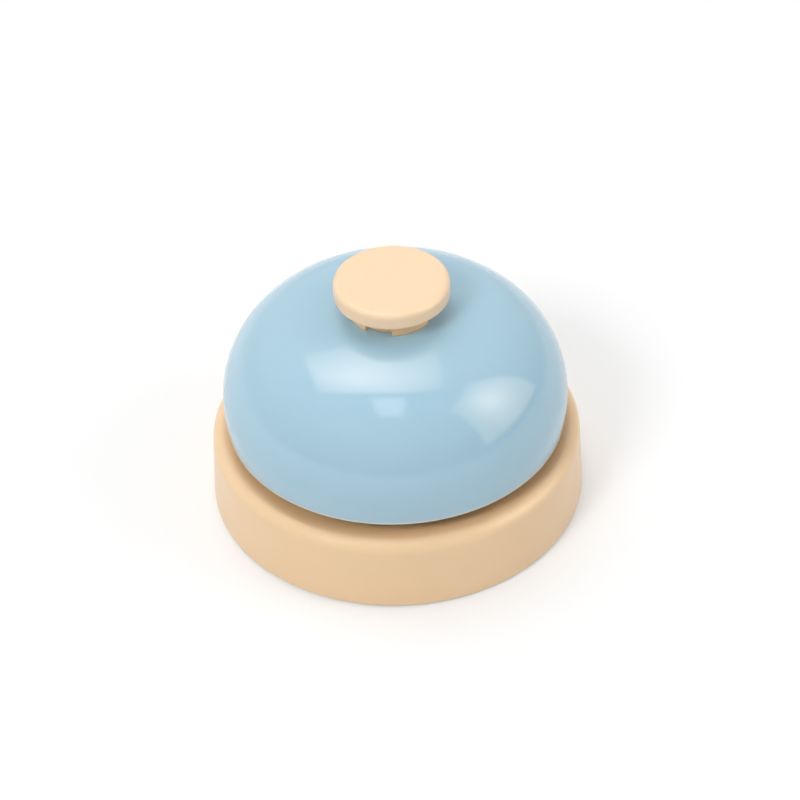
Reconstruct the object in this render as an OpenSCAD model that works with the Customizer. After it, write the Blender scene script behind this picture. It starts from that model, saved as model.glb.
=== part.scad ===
// Pet training bell: a sprung push button over an enamelled bell on a round moulded base.
// Millimetres. The origin is at the middle of the underside, Z is up and -Y is the front.

/* [Base] */
// Diameter of the base at its bottom edge
base_d = 70; // [68:0.5:90]
// Height of the base from its bottom edge to its deck
base_h = 14.3; // [13:0.1:20]
// How far the side wall leans in from bottom to top
base_draft = 0.7; // [0.1:0.1:1.5]
// Rounding of the top edge
base_edge_r = 2.3; // [1:0.1:3.5]
// Side wall thickness at the top
base_wall = 2.2; // [1.6:0.1:3]
// Deck thickness
deck_t = 2.4; // [2:0.1:3.5]
// Height of the bottom edge above the floor
floor_gap = 0.4; // [0.2:0.1:1]

/* [Cover and feet] */
// Cover thickness
cover_t = 2; // [1.8:0.1:3]
// How far the cover lies above the base's bottom edge
cover_inset = 0.6; // [0.3:0.1:1.5]
// Diameter of the circle that the cover screws lie on
cover_screw_ring_d = 34; // [30:0.5:40]
// Foot diameter
foot_d = 9; // [6:0.5:11]
// How deep a foot sits in its socket
foot_sink = 0.8; // [0.5:0.1:1]
// Distance from a foot to the cover's edge
foot_edge = 2; // [1:0.1:4]
// Bevel at the bottom of a foot
foot_bevel = 0.3; // [0.1:0.1:0.4]

/* [Bell] */
// Widest diameter of the bell
dome_d = 63.9; // [58:0.1:66]
// Height of the bell from its rim to its crown
dome_h = 24; // [22:0.1:28]
// Radius of the bell's rounded shoulder
dome_shoulder_r = 18.3; // [16:0.1:20]
// Radius of the bell's skirt below its widest line
dome_skirt_r = 30; // [20:1:60]
// Radius of the wide arc across the bell's crown
dome_crown_r = 72; // [50:1:120]
// Diameter of the flat in the middle of the crown
land_d = 16.6; // [16.2:0.1:20]
// Thickness of the enamelled sheet
dome_sheet = 0.9; // [0.6:0.1:1.2]
// Gap between the deck and the bell's rim
rim_gap = 2.8; // [1.2:0.1:4]
// Thickness of the cushion washer under the crown
cushion_t = 0.8; // [0.4:0.1:1.2]

/* [Post] */
// Post diameter
post_d = 12; // [11.4:0.1:13]
// Wall of the post's lower tube
post_wall = 1.4; // [1:0.1:1.8]
// Diameter of the foot flange
flange_d = 23; // [22:0.5:26]
// Thickness of the foot flange
flange_t = 2; // [1.5:0.1:3]
// Diameter of the circle that the post screws lie on
post_screw_ring_d = 17; // [16.4:0.1:18]
// Diameter of the seat that carries the bell
seat_d = 16.4; // [15:0.1:20]
// Thickness of that seat at its edge
seat_t = 1.2; // [0.8:0.1:2]
// Diameter of the spigot that takes the collar nut
spigot_d = 11; // [10.4:0.1:11.6]
// Wall of the spigot
spigot_wall = 1.2; // [0.9:0.1:1.5]
// How far the spigot ends below the nut's top
spigot_short = 0.2; // [0:0.1:0.6]
// Depth of the spring's ledge below the bell's seat
ledge_drop = 1.6; // [1:0.1:2.5]
// Thickness of the ledge that guides the plunger
ledge_t = 2; // [1.5:0.1:3]
// Thickness of each cheek that holds the hammer's pin
cheek_t = 1.8; // [1.2:0.1:2.2]
// Radius of the cheek around the pin
cheek_r = 3; // [2.4:0.1:3.4]

/* [Collar nut] */
// Nut diameter
nut_d = 16; // [14:0.1:16.4]
// Nut height
nut_h = 2; // [1.8:0.1:2.4]
// Number of slots
nut_slots = 4; // [2:1:4]
// Width of a slot in degrees
nut_slot_angle = 36; // [20:1:60]
// Depth of a slot
nut_slot_depth = 1; // [0.6:0.1:1.4]
// Turn of the nut: direction of its first slot from the front
nut_turn = -20; // [-90:1:90]

/* [Button] */
// Cap diameter
cap_d = 21.1; // [18:0.1:26]
// Cap height
cap_h = 3; // [2.8:0.1:5]
// Rounding of the cap's top edge
cap_edge_r = 1; // [0.8:0.1:2]
// Thickness of the cap's top
cap_top_t = 1.4; // [1.2:0.1:2]
// Thickness of the cap's side wall
cap_wall = 1.4; // [1:0.1:2]
// Height of the cap's lip above the bell's crown at rest
cap_lift = 3.6; // [3.4:0.1:6]
// Wall of the hollow stem under the cap
stem_wall = 1; // [0.7:0.1:1.2]
// Length of the solid part of the stem
stem_core = 1.1; // [0.8:0.1:2]
// How far the button goes down
press_travel = 3; // [2:0.1:3.1]
// Plunger rod diameter
rod_d = 3; // [2.4:0.1:3.2]
// How deep the rod goes into the cap's top
rod_grip = 0.6; // [0.3:0.1:0.8]
// Length of the rod below its retaining ring
tip_l = 4.8; // [3:0.1:5.4]

/* [Return spring] */
// Wire diameter
wire_d = 0.6; // [0.4:0.1:0.8]
// Number of turns
coil_turns = 5; // [4:0.5:6]
// Thickness of the washer under the spring
spring_washer_t = 0.4; // [0.3:0.1:0.6]

/* [Hammer] */
// Distance from the plunger to the hammer's pivot
pivot_x = 6.6; // [6.4:0.1:8]
// Width of the lever
lever_w = 4.6; // [3.6:0.1:4.8]
// Thickness of the lever
lever_t = 1.2; // [0.8:0.1:1.6]
// Diameter of the lever's hub
hub_d = 4.4; // [3.6:0.1:4.8]
// Diameter of the pivot pin
pin_d = 2; // [1.6:0.1:2.4]
// How far the lever's tail passes the plunger's axis
tail_over = 1.6; // [1:0.1:2.2]
// How far the arm passes the striker's axis
arm_over = 2.6; // [2.4:0.1:3.5]
// Slope of the arm when it strikes, below level, in degrees
strike_angle = 6; // [0:1:12]
// Striker diameter
head_d = 6.6; // [5:0.1:7.4]
// Height of the striker's middle above the arm
head_seat = 2.6; // [2:0.1:2.8]
// Diameter of the striker's stud
stud_d = 2.4; // [1.8:0.1:2.6]
// Bumper diameter
bumper_d = 5; // [4:0.5:7]

/* [Screws and clips] */
// Screw shank diameter
screw_d = 2.4; // [2:0.1:2.6]
// Screw length, without the pan head
screw_l = 8; // [7:0.5:8.5]
// Screw head diameter
screw_head_d = 4.6; // [4:0.1:4.8]
// Height of a screw's head
screw_head_h = 1.3; // [1:0.1:1.5]
// Wall of a screw boss
boss_wall = 1.9; // [1.4:0.1:2.4]
// Thickness of a retaining ring and of the push nut
clip_t = 0.6; // [0.4:0.1:0.8]
// Depth of a retaining ring's groove
groove_depth = 0.35; // [0.2:0.05:0.4]
// How far a retaining ring and the push nut stand out past their shaft
clip_out = 1.2; // [0.8:0.1:1.3]

/* [Fits] */
// Running clearance of the plunger and of the pin
run_gap = 0.05; // [0.02:0.01:0.1]
// Clearance of parts that are screwed or pressed together
seat_gap = 0.03; // [0.02:0.01:0.1]
// Clearance around the cover and the feet
cover_gap = 0.15; // [0.1:0.05:0.3]
// Clearance between parts that pass one another
pass_gap = 0.3; // [0.2:0.05:0.5]
// Clearance at each side of the lever
side_gap = 0.15; // [0.1:0.05:0.25]
// Gap left between the striker and the bell at full press
strike_gap = 0.35; // [0.2:0.05:0.6]
// Clearance of a retaining ring in its groove and below its stop
clip_gap = 0.1; // [0.05:0.01:0.2]

/* [Hidden] */
$fn = 96;
// Overshoot of a cut past a face
over = 1;

// Base
base_r = base_d / 2;
base_in_r = base_r - base_draft - base_wall;
deck_z = floor_gap + base_h;
deck_low = deck_z - deck_t;
wall_lean = atan(base_draft / base_h);
edge_z = deck_z - base_edge_r;
edge_x = base_r - (edge_z - floor_gap) * tan(wall_lean) - base_edge_r / cos(wall_lean);

// Cover and feet
cover_z = floor_gap + cover_inset;
cover_top = cover_z + cover_t;
cover_r = base_in_r - cover_gap;
foot_r = foot_d / 2;
foot_ring_r = cover_r - foot_edge - foot_r;
foot_count = 4;
foot_start = 45;
cover_screw_count = 3;
cover_screw_start = 90;

// Bell
dome_r = dome_d / 2;
rim_z = deck_z + rim_gap;
crown_z = rim_z + dome_h;
shoulder_x = dome_r - dome_shoulder_r;
crown_middle_z = crown_z - sqrt(pow(dome_crown_r, 2) - pow(land_d / 2, 2));
crown_rise = sqrt(pow(dome_crown_r - dome_shoulder_r, 2) - pow(shoulder_x, 2));
equator_z = crown_middle_z + crown_rise;
shoulder_in_r = dome_shoulder_r - dome_sheet;

// Post and nut
post_r = post_d / 2;
post_bore_r = post_r - post_wall;
seat_z = crown_z - dome_sheet - cushion_t;
spigot_r = spigot_d / 2;
spigot_bore_r = spigot_r - spigot_wall;
crown_hole_r = spigot_r + seat_gap;
nut_r = nut_d / 2;
nut_top = crown_z + nut_h;
spigot_top = nut_top - spigot_short;
ledge_top = seat_z - ledge_drop;
ledge_low = ledge_top - ledge_t;
flange_top = deck_z + flange_t;
post_screw_count = 3;
post_screw_start = 60;

// Button
rod_r = rod_d / 2;
cap_r = cap_d / 2;
cap_lip = crown_z + cap_lift;
cap_top = cap_lip + cap_h;
cap_ceiling = cap_top - cap_top_t;
core_low = cap_ceiling - stem_core;
stem_r = spigot_bore_r - pass_gap;
stem_in_r = stem_r - stem_wall;
stem_low = ledge_top + spring_washer_t + press_travel + pass_gap;
rod_top = cap_ceiling + rod_grip;
clip_low = ledge_low - clip_gap - clip_t;
rod_tip = clip_low - tip_l;

// Spring
wire_r = wire_d / 2;
coil_r = (rod_r + stem_in_r) / 2;
coil_low = ledge_top + spring_washer_t + wire_r + clip_gap;
coil_high = core_low - wire_r - clip_gap;
rings_per_turn = 8;
wire_sides = 6;
coil_rings = ceil(coil_turns * rings_per_turn);

// Hammer
pin_r = pin_d / 2;
hub_r = hub_d / 2;
stud_r = stud_d / 2;
head_r = head_d / 2;
pivot_z = rod_tip - pass_gap - lever_t / 2;
swing = asin(press_travel / pivot_x);
rest_angle = strike_angle + swing;
head_up = lever_t / 2 + head_seat;
cheek_in = lever_w / 2 + side_gap;
cheek_out = cheek_in + cheek_t;
tail_l = pivot_x + tail_over;
// At the strike the head's middle lies this far from the middle of the shoulder's round
strike_reach = shoulder_in_r - strike_gap - head_r;
arm_along = [cos(strike_angle), -sin(strike_angle)];
arm_up = [sin(strike_angle), cos(strike_angle)];
from_shoulder = [pivot_x - shoulder_x, pivot_z - equator_z] + head_up * arm_up;
offset_along = arm_along * from_shoulder;
arm_l = sqrt(pow(offset_along, 2) - from_shoulder * from_shoulder + pow(strike_reach, 2)) - offset_along;
// Lowest corner of the hammer at rest, on the push nut's edge
push_nut_r = stud_r + clip_out;
low_along = arm_l + push_nut_r;
low_under = lever_t / 2 + clip_t;
low_x = pivot_x + low_along * cos(rest_angle) - low_under * sin(rest_angle);
low_z = pivot_z - low_along * sin(rest_angle) - low_under * cos(rest_angle);
window_low = pivot_z - tail_l * sin(swing) - lever_t;
window_high = pivot_z + hub_r + pass_gap;

// Screws
screw_r = screw_d / 2;
screw_head_r = screw_head_d / 2;
screw_boss_r = screw_r + boss_wall;
screw_hole_r = screw_r + seat_gap;
screw_clear_r = screw_r + cover_gap;
recess_w = 0.7;
recess_l = 2.6;
recess_depth = 0.8;
// Share of a pan head's height that is straight, and of its radius that is flat on top
head_straight = 0.6;
head_flat = 0.75;
// Share of a retaining ring's bore that its mouth leaves open
ring_mouth = 0.9;
// Length of the pin past the cheek, for its clip, and how far its own head stands out
pin_end = 3 * clip_t;
pin_head_out = clip_out / 2;
// Depth of thread left free below a screw's end
screw_spare = 1;
post_boss_low = flange_top - flange_t - screw_l - screw_spare;

echo(slide_m = press_travel / 1000, swing_deg = swing, ratio = swing * PI / 180 / (press_travel / 1000));
echo(pivot_mm = [pivot_x, 0, pivot_z], arm_l = arm_l, rest_angle = rest_angle, low = [low_x, low_z]);
echo(spring_low = ledge_top + spring_washer_t, spring_high = core_low, stem_low = stem_low);
echo(deck = deck_z, rim = rim_z, equator = equator_z, seat = seat_z, crown = crown_z, top = cap_top);

// Copies around the Z axis
module around(count, r, start) {
    for (i = [0 : count - 1])
        rotate(start + i * 360 / count)
            translate([r, 0, 0])
                children();
}

// Flat ring from z = 0 upwards
module ring(r_out, r_in, h) {
    difference() {
        cylinder(r = r_out, h = h);
        translate([0, 0, -over])
            cylinder(r = r_in, h = h + 2 * over);
    }
}

// Retaining ring, open on its +X side
module retaining_ring(shaft_r) {
    groove_r = shaft_r - groove_depth + seat_gap;
    difference() {
        ring(shaft_r + clip_out, groove_r, clip_t);
        translate([0, -groove_r * ring_mouth, -over])
            cube([shaft_r + clip_out + over, 2 * groove_r * ring_mouth, clip_t + 2 * over]);
    }
}

// Groove cut for a retaining ring whose lower face is at z = 0
module groove_cut(shaft_r) {
    translate([0, 0, -clip_gap / 2])
        ring(shaft_r + over, shaft_r - groove_depth, clip_t + clip_gap);
}

// Cross recess cut down from z = 0
module cross_recess() {
    for (turn = [0, 90])
        rotate(turn)
            translate([-recess_l / 2, -recess_w / 2, -recess_depth])
                cube([recess_l, recess_w, recess_depth + over]);
}

// Pan-head screw whose head stands on z = 0
module pan_screw() {
    straight_h = screw_head_h * head_straight;
    difference() {
        union() {
            translate([0, 0, -screw_l])
                cylinder(r = screw_r, h = screw_l);
            cylinder(r = screw_head_r, h = straight_h);
            translate([0, 0, straight_h])
                cylinder(r1 = screw_head_r, r2 = screw_head_r * head_flat, h = screw_head_h - straight_h);
        }
        translate([0, 0, screw_head_h])
            cross_recess();
    }
}

// Countersunk cone from z = 0 upwards
module countersink(extra) {
    cylinder(r1 = screw_head_r + extra, r2 = screw_r + extra, h = screw_head_h);
}

// Countersunk screw whose flat head lies in z = 0 and that points up
module countersunk_screw() {
    difference() {
        union() {
            countersink(0);
            cylinder(r = screw_r, h = screw_l);
        }
        rotate([180, 0, 0])
            cross_recess();
    }
}

// Outline of the base: a leaning wall that runs into the rounded top edge
module base_outline() {
    polygon([
        [0, floor_gap],
        [base_r, floor_gap],
        [edge_x + base_edge_r * cos(wall_lean), edge_z + base_edge_r * sin(wall_lean)],
        [edge_x, edge_z],
        [edge_x, deck_z],
        [0, deck_z]
    ]);
    translate([edge_x, edge_z])
        circle(r = base_edge_r);
}

module base_housing() {
    color([0.94, 0.83, 0.68])
        difference() {
            union() {
                difference() {
                    rotate_extrude()
                        base_outline();
                    translate([0, 0, -over])
                        cylinder(r = base_in_r, h = deck_low + over);
                }
                around(cover_screw_count, cover_screw_ring_d / 2, cover_screw_start)
                    translate([0, 0, cover_top])
                        cylinder(r = screw_boss_r, h = deck_low + deck_t / 2 - cover_top);
                around(post_screw_count, post_screw_ring_d / 2, post_screw_start)
                    translate([0, 0, post_boss_low])
                        cylinder(r = screw_boss_r, h = deck_low + deck_t / 2 - post_boss_low);
            }
            around(cover_screw_count, cover_screw_ring_d / 2, cover_screw_start)
                translate([0, 0, cover_z])
                    cylinder(r = screw_hole_r, h = screw_l + screw_spare);
            around(post_screw_count, post_screw_ring_d / 2, post_screw_start)
                translate([0, 0, flange_top - screw_l - screw_spare / 2])
                    cylinder(r = screw_hole_r, h = screw_l + over);
        }
}

module base_cover() {
    color([0.92, 0.81, 0.66])
        difference() {
            translate([0, 0, cover_z])
                cylinder(r = cover_r, h = cover_t);
            around(cover_screw_count, cover_screw_ring_d / 2, cover_screw_start)
                translate([0, 0, cover_z]) {
                    countersink(seat_gap);
                    translate([0, 0, -over])
                        cylinder(r = screw_clear_r, h = cover_t + 2 * over);
                }
            around(foot_count, foot_ring_r, foot_start)
                translate([0, 0, cover_z - over])
                    cylinder(r = foot_r + seat_gap, h = foot_sink + over);
        }
}

module cover_screws() {
    color([0.75, 0.75, 0.76])
        around(cover_screw_count, cover_screw_ring_d / 2, cover_screw_start)
            translate([0, 0, cover_z])
                countersunk_screw();
}

module rubber_feet() {
    color([0.86, 0.84, 0.8])
        around(foot_count, foot_ring_r, foot_start) {
            cylinder(r1 = foot_r - foot_bevel, r2 = foot_r, h = foot_bevel);
            translate([0, 0, foot_bevel])
                cylinder(r = foot_r, h = cover_z + foot_sink - foot_bevel);
        }
}

// Outline of the post without its bores and cheeks
module post_outline() {
    translate([0, deck_z])
        square([flange_d / 2, flange_t]);
    translate([0, deck_z])
        square([post_r, seat_z - deck_z]);
    polygon([
        [post_r - over, seat_z],
        [seat_d / 2, seat_z],
        [seat_d / 2, seat_z - seat_t],
        [post_r, seat_z - seat_t - (seat_d / 2 - post_r)],
        [post_r - over, seat_z - seat_t - (seat_d / 2 - post_r)]
    ]);
    translate([0, seat_z - over])
        square([spigot_r, spigot_top - seat_z + over]);
}

// Two cheeks that stand beside the hammer's lever
module cheeks() {
    for (side = [-1, 1])
        translate([0, side * (cheek_in + cheek_out) / 2, 0])
            rotate([90, 0, 0])
                linear_extrude(cheek_t, center = true) {
                    translate([0, flange_top - flange_t / 2])
                        square([pivot_x + cheek_r, pivot_z - flange_top + flange_t / 2]);
                    translate([0, flange_top])
                        square([pivot_x, pivot_z + cheek_r - flange_top]);
                    translate([pivot_x, pivot_z])
                        circle(r = cheek_r);
                }
}

module centre_post() {
    color([0.93, 0.82, 0.67])
        difference() {
            union() {
                rotate_extrude()
                    post_outline();
                cheeks();
            }
            translate([0, 0, ledge_top])
                cylinder(r = spigot_bore_r, h = spigot_top - ledge_top + over);
            translate([0, 0, ledge_low - over])
                cylinder(r = rod_r + run_gap, h = ledge_t + 2 * over);
            translate([0, 0, deck_z - over])
                cylinder(r = post_bore_r, h = ledge_low - deck_z + over);
            translate([0, -cheek_in, window_low])
                cube([pivot_x, 2 * cheek_in, window_high - window_low]);
            translate([pivot_x, 0, pivot_z])
                rotate([90, 0, 0])
                    cylinder(r = pin_r + seat_gap, h = 2 * cheek_out + 2 * over, center = true);
            around(post_screw_count, post_screw_ring_d / 2, post_screw_start)
                translate([0, 0, deck_z - over])
                    cylinder(r = screw_clear_r, h = flange_t + 2 * over);
        }
}

module post_screws() {
    color([0.75, 0.75, 0.76])
        around(post_screw_count, post_screw_ring_d / 2, post_screw_start)
            translate([0, 0, flange_top])
                pan_screw();
}

module cushion_washer() {
    color([0.3, 0.3, 0.32])
        translate([0, 0, seat_z])
            ring(seat_d / 2, crown_hole_r, cushion_t);
}

// Half outline of the bell, drawn in by a sheet thickness
module dome_outline(inset) {
    low = rim_z - (inset > 0 ? over : 0);
    meet_x = shoulder_x * (1 + (dome_shoulder_r - inset) / (dome_crown_r - dome_shoulder_r));
    intersection() {
        union() {
            translate([shoulder_x, equator_z])
                circle(r = dome_shoulder_r - inset);
            intersection() {
                translate([dome_r - dome_skirt_r, equator_z])
                    circle(r = dome_skirt_r - inset);
                translate([0, low])
                    square([dome_d, equator_z - low]);
            }
            intersection() {
                translate([0, crown_middle_z])
                    circle(r = dome_crown_r - inset);
                translate([0, equator_z])
                    square([meet_x, dome_h]);
            }
        }
        translate([0, low])
            square([dome_d, crown_z - inset - low]);
    }
}

module bell_dome() {
    color([0.66, 0.8, 0.88])
        difference() {
            rotate_extrude()
                difference() {
                    dome_outline(0);
                    dome_outline(dome_sheet);
                }
            translate([0, 0, crown_z - dome_sheet - over])
                cylinder(r = crown_hole_r, h = dome_sheet + 2 * over);
        }
}

module dome_nut() {
    color([0.94, 0.83, 0.68])
        difference() {
            translate([0, 0, crown_z])
                ring(nut_r, crown_hole_r, nut_h);
            for (i = [0 : nut_slots - 1])
                rotate(nut_turn - 90 - nut_slot_angle / 2 + i * 360 / nut_slots)
                    rotate_extrude(angle = nut_slot_angle)
                        translate([nut_r - nut_slot_depth, crown_z - over])
                            square([nut_slot_depth + over, nut_h + 2 * over]);
        }
}

module button_cap() {
    color([0.99, 0.88, 0.73])
        difference() {
            union() {
                translate([0, 0, cap_lip])
                    rotate_extrude()
                        difference() {
                            union() {
                                square([cap_r, cap_h - cap_edge_r]);
                                square([cap_r - cap_edge_r, cap_h]);
                                translate([cap_r - cap_edge_r, cap_h - cap_edge_r])
                                    circle(r = cap_edge_r);
                            }
                            translate([0, -over])
                                square([cap_r - cap_wall, cap_h - cap_top_t + over]);
                        }
                translate([0, 0, stem_low])
                    cylinder(r = stem_r, h = cap_ceiling + cap_top_t / 2 - stem_low);
            }
            translate([0, 0, stem_low - over])
                cylinder(r = stem_in_r, h = core_low - stem_low + over);
            translate([0, 0, core_low - over])
                cylinder(r = rod_r + seat_gap, h = rod_top - core_low + over);
        }
}

module plunger_rod() {
    color([0.78, 0.78, 0.8])
        difference() {
            union() {
                translate([0, 0, rod_tip + rod_r])
                    cylinder(r = rod_r, h = rod_top - rod_tip - rod_r);
                translate([0, 0, rod_tip + rod_r])
                    sphere(r = rod_r);
            }
            translate([0, 0, clip_low])
                groove_cut(rod_r);
        }
}

module plunger_clip() {
    color([0.5, 0.5, 0.52])
        translate([0, 0, clip_low])
            rotate(180)
                retaining_ring(rod_r);
}

module spring_washer() {
    color([0.75, 0.75, 0.76])
        translate([0, 0, ledge_top])
            ring(spigot_bore_r - cover_gap, rod_r + pass_gap, spring_washer_t);
}

// Middle of the spring's wire at a ring number, and the wire's direction there
function coil_turn(ring) = 360 * ring / rings_per_turn;
function coil_middle(ring) = [
    coil_r * cos(coil_turn(ring)),
    coil_r * sin(coil_turn(ring)),
    coil_low + (coil_high - coil_low) * ring / coil_rings
];
function coil_rise() = atan((coil_high - coil_low) / (coil_turns * 2 * PI * coil_r));
function coil_point(ring, side) =
    let (turn = coil_turn(ring), around = 360 * side / wire_sides, rise = coil_rise())
    coil_middle(ring)
    + wire_r * cos(around) * [cos(turn), sin(turn), 0]
    + wire_r * sin(around) * [sin(rise) * sin(turn), -sin(rise) * cos(turn), cos(rise)];

// Least gap of the wire to itself, between rings that are half a turn or more apart
coil_gap = min([
    for (a = [0 : coil_rings], b = [a + rings_per_turn / 2 : coil_rings])
        norm(coil_middle(b) - coil_middle(a))
]) - wire_d;
echo(spring_self_gap_mm = coil_gap);

module return_spring() {
    points = [for (ring = [0 : coil_rings], side = [0 : wire_sides - 1]) coil_point(ring, side)];
    walls = [
        for (ring = [0 : coil_rings - 1], side = [0 : wire_sides - 1], half = [0, 1])
            let (a = ring * wire_sides + side, b = ring * wire_sides + (side + 1) % wire_sides)
            half == 0 ? [a, b, b + wire_sides] : [a, b + wire_sides, a + wire_sides]
    ];
    last = coil_rings * wire_sides;
    first_end = [for (side = [1 : wire_sides - 2]) [0, side + 1, side]];
    last_end = [for (side = [1 : wire_sides - 2]) [last, last + side, last + side + 1]];
    color([0.7, 0.7, 0.72])
        polyhedron(points = points, faces = concat(walls, first_end, last_end));
}

// Place on the hammer's arm: X runs along the arm from the pivot, Z points at the bell
module on_arm() {
    translate([pivot_x, 0, pivot_z])
        rotate([0, rest_angle, 0])
            children();
}

module hammer_lever() {
    color([0.72, 0.72, 0.74])
        difference() {
            translate([pivot_x, 0, pivot_z])
                rotate([90, 0, 0])
                    linear_extrude(lever_w, center = true)
                        difference() {
                            union() {
                                circle(r = hub_r);
                                translate([-tail_l, -lever_t / 2])
                                    square([tail_l, lever_t]);
                                rotate(-rest_angle)
                                    translate([0, -lever_t / 2])
                                        square([arm_l + arm_over, lever_t]);
                            }
                            circle(r = pin_r + run_gap);
                        }
            on_arm()
                translate([arm_l, 0, 0])
                    cylinder(r = stud_r + seat_gap, h = lever_t + 2 * over, center = true);
        }
}

module hammer_head() {
    stud_l = lever_t + clip_t + clip_gap;
    color([0.76, 0.76, 0.78])
        on_arm()
            translate([arm_l, 0, lever_t / 2]) {
                intersection() {
                    translate([0, 0, head_seat])
                        sphere(r = head_r);
                    cylinder(r = head_d, h = head_seat + head_d);
                }
                translate([0, 0, -stud_l])
                    cylinder(r = stud_r, h = stud_l + head_seat);
            }
}

module hammer_push_nut() {
    color([0.6, 0.6, 0.62])
        on_arm()
            translate([arm_l, 0, -lever_t / 2 - clip_t])
                ring(push_nut_r, stud_r + seat_gap, clip_t);
}

// Place on the pin: Z runs along the pin towards +Y
module on_pin() {
    translate([pivot_x, 0, pivot_z])
        rotate([-90, 0, 0])
            children();
}

module hammer_pin() {
    color([0.78, 0.78, 0.8])
        on_pin()
            difference() {
                union() {
                    translate([0, 0, -cheek_out])
                        cylinder(r = pin_r, h = 2 * cheek_out + pin_end);
                    translate([0, 0, -cheek_out - clip_t])
                        cylinder(r = pin_r + pin_head_out, h = clip_t);
                }
                translate([0, 0, cheek_out + clip_gap])
                    groove_cut(pin_r);
            }
}

module pin_clip() {
    color([0.5, 0.5, 0.52])
        on_pin()
            translate([0, 0, cheek_out + clip_gap])
                retaining_ring(pin_r);
}

module hammer_bumper() {
    color([0.2, 0.2, 0.21])
        translate([low_x, 0, deck_z])
            cylinder(d = bumper_d, h = low_z - pass_gap - deck_z);
}

base_housing();
base_cover();
cover_screws();
rubber_feet();
centre_post();
post_screws();
cushion_washer();
bell_dome();
dome_nut();
button_cap();
plunger_rod();
plunger_clip();
spring_washer();
return_spring();
hammer_lever();
hammer_head();
hammer_push_nut();
hammer_pin();
pin_clip();
hammer_bumper();
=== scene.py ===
"""Pet training bell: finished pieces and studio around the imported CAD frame.

Sizes inside the classes are millimetres, and each mesh is scaled to metres as it is made.
The frame's axes hold throughout: Z is up, -Y is the front and +X is the hammer's side.
"""

import logging
import math
from collections.abc import Callable, Sequence
from dataclasses import dataclass
from enum import Enum
from typing import ClassVar

import bmesh
import bpy
from mathutils import Matrix, Vector


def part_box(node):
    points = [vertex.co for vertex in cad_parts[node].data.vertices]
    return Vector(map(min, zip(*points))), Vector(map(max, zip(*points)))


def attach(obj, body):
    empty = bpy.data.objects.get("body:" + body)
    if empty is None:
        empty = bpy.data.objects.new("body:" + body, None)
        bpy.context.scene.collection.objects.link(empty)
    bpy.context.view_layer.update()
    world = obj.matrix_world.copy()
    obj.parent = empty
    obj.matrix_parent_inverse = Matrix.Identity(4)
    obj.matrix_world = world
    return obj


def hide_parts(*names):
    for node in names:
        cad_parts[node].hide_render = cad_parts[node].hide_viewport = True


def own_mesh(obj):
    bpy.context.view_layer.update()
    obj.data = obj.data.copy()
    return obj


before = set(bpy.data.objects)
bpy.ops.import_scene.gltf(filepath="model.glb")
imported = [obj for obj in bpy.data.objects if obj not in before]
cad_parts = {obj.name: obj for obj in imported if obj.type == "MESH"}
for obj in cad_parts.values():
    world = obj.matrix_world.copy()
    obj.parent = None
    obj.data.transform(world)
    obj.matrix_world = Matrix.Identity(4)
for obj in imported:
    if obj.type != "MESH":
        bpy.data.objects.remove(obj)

Piece = bpy.types.Object
Tree = bpy.types.NodeTree
Node = bpy.types.Node
Socket = bpy.types.NodeSocket
Inputs = dict[str | int, object]
Pair = tuple[float, float]
Triple = tuple[float, float, float]

LOG = logging.getLogger("training_bell")
MM = 0.001
WHITE = "FFFFFF"
# Widest step of a rounded corner and of a larger arc
CORNER_STEP = math.radians(7.5)
ARC_STEP = CORNER_STEP / 2
# A radius below this lies on the axis
ON_AXIS = 1e-6
# Edges sharper than this keep a crease
CREASE = math.radians(38)
# Rounding of an edge that is broken only slightly
FINE_EDGE = 0.05
# How far a cutting tool reaches past the face that it opens
OVER = 1.0
# Steps across a plate's bevel, and the share of the bevel within which its points are merged
BEVEL_STEPS = 2
WELD = 0.01
# Turns a plate that is drawn in X and Y up into X and Z
UPRIGHT = Matrix.Rotation(math.radians(90), 4, "X")
# Sockets of a colour Mix: its share, its two colours and the result
SHARE, FIRST, SECOND, MIXED = 0, 6, 7, 2
# Inputs of a Map Range: the limits of what comes in and of what goes out
FROM_LOW, FROM_HIGH, TO_LOW, TO_HIGH = 1, 2, 3, 4
# Most of a noise lies between these values
NOISE_LOW, NOISE_HIGH = 0.3, 0.7
# Octaves of the colour's slow drift and of the fine grain
CLOUD_DETAIL, GRAIN_DETAIL = 3.0, 2.0
# Steps of a spring's coil for each turn, and sides of its wire
COIL_STEPS, WIRE_SIDES = 40, 14


class Body(Enum):
    """Bodies of the frame that a piece can ride on."""

    BASE = "base"
    BUTTON = "button"
    HAMMER = "hammer"


class Slot(Enum):
    """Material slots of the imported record."""

    SHELL = "cream_shell"
    BUTTON = "cream_button"
    INNER = "cream_inner"
    ENAMEL = "blue_enamel"
    FOOT = "grey_rubber"
    PAD = "black_rubber"
    STEEL = "zinc_steel"
    SPRING = "spring_steel"


class Measure(Enum):
    """Axes along which a tint's place is measured."""

    FROM_AXIS = (1.0, 1.0, 0.0)
    FROM_GROUND = (0.0, 0.0, 1.0)


class Cut(Enum):
    """Ways of combining a piece with a tool."""

    REMOVE = "DIFFERENCE"
    JOIN = "UNION"


# Outlines and meshes


@dataclass(frozen=True)
class Corner:
    """A corner of an outline: distance from the axis, height and rounding."""

    r: float
    z: float
    fillet: float = 0.0

    def point(self) -> Vector:
        """Return the corner as a 2D vector."""
        return Vector((self.r, self.z))


@dataclass(frozen=True)
class Station:
    """A point of an outline with its outward normal."""

    r: float
    z: float
    normal_r: float
    normal_z: float


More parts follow.
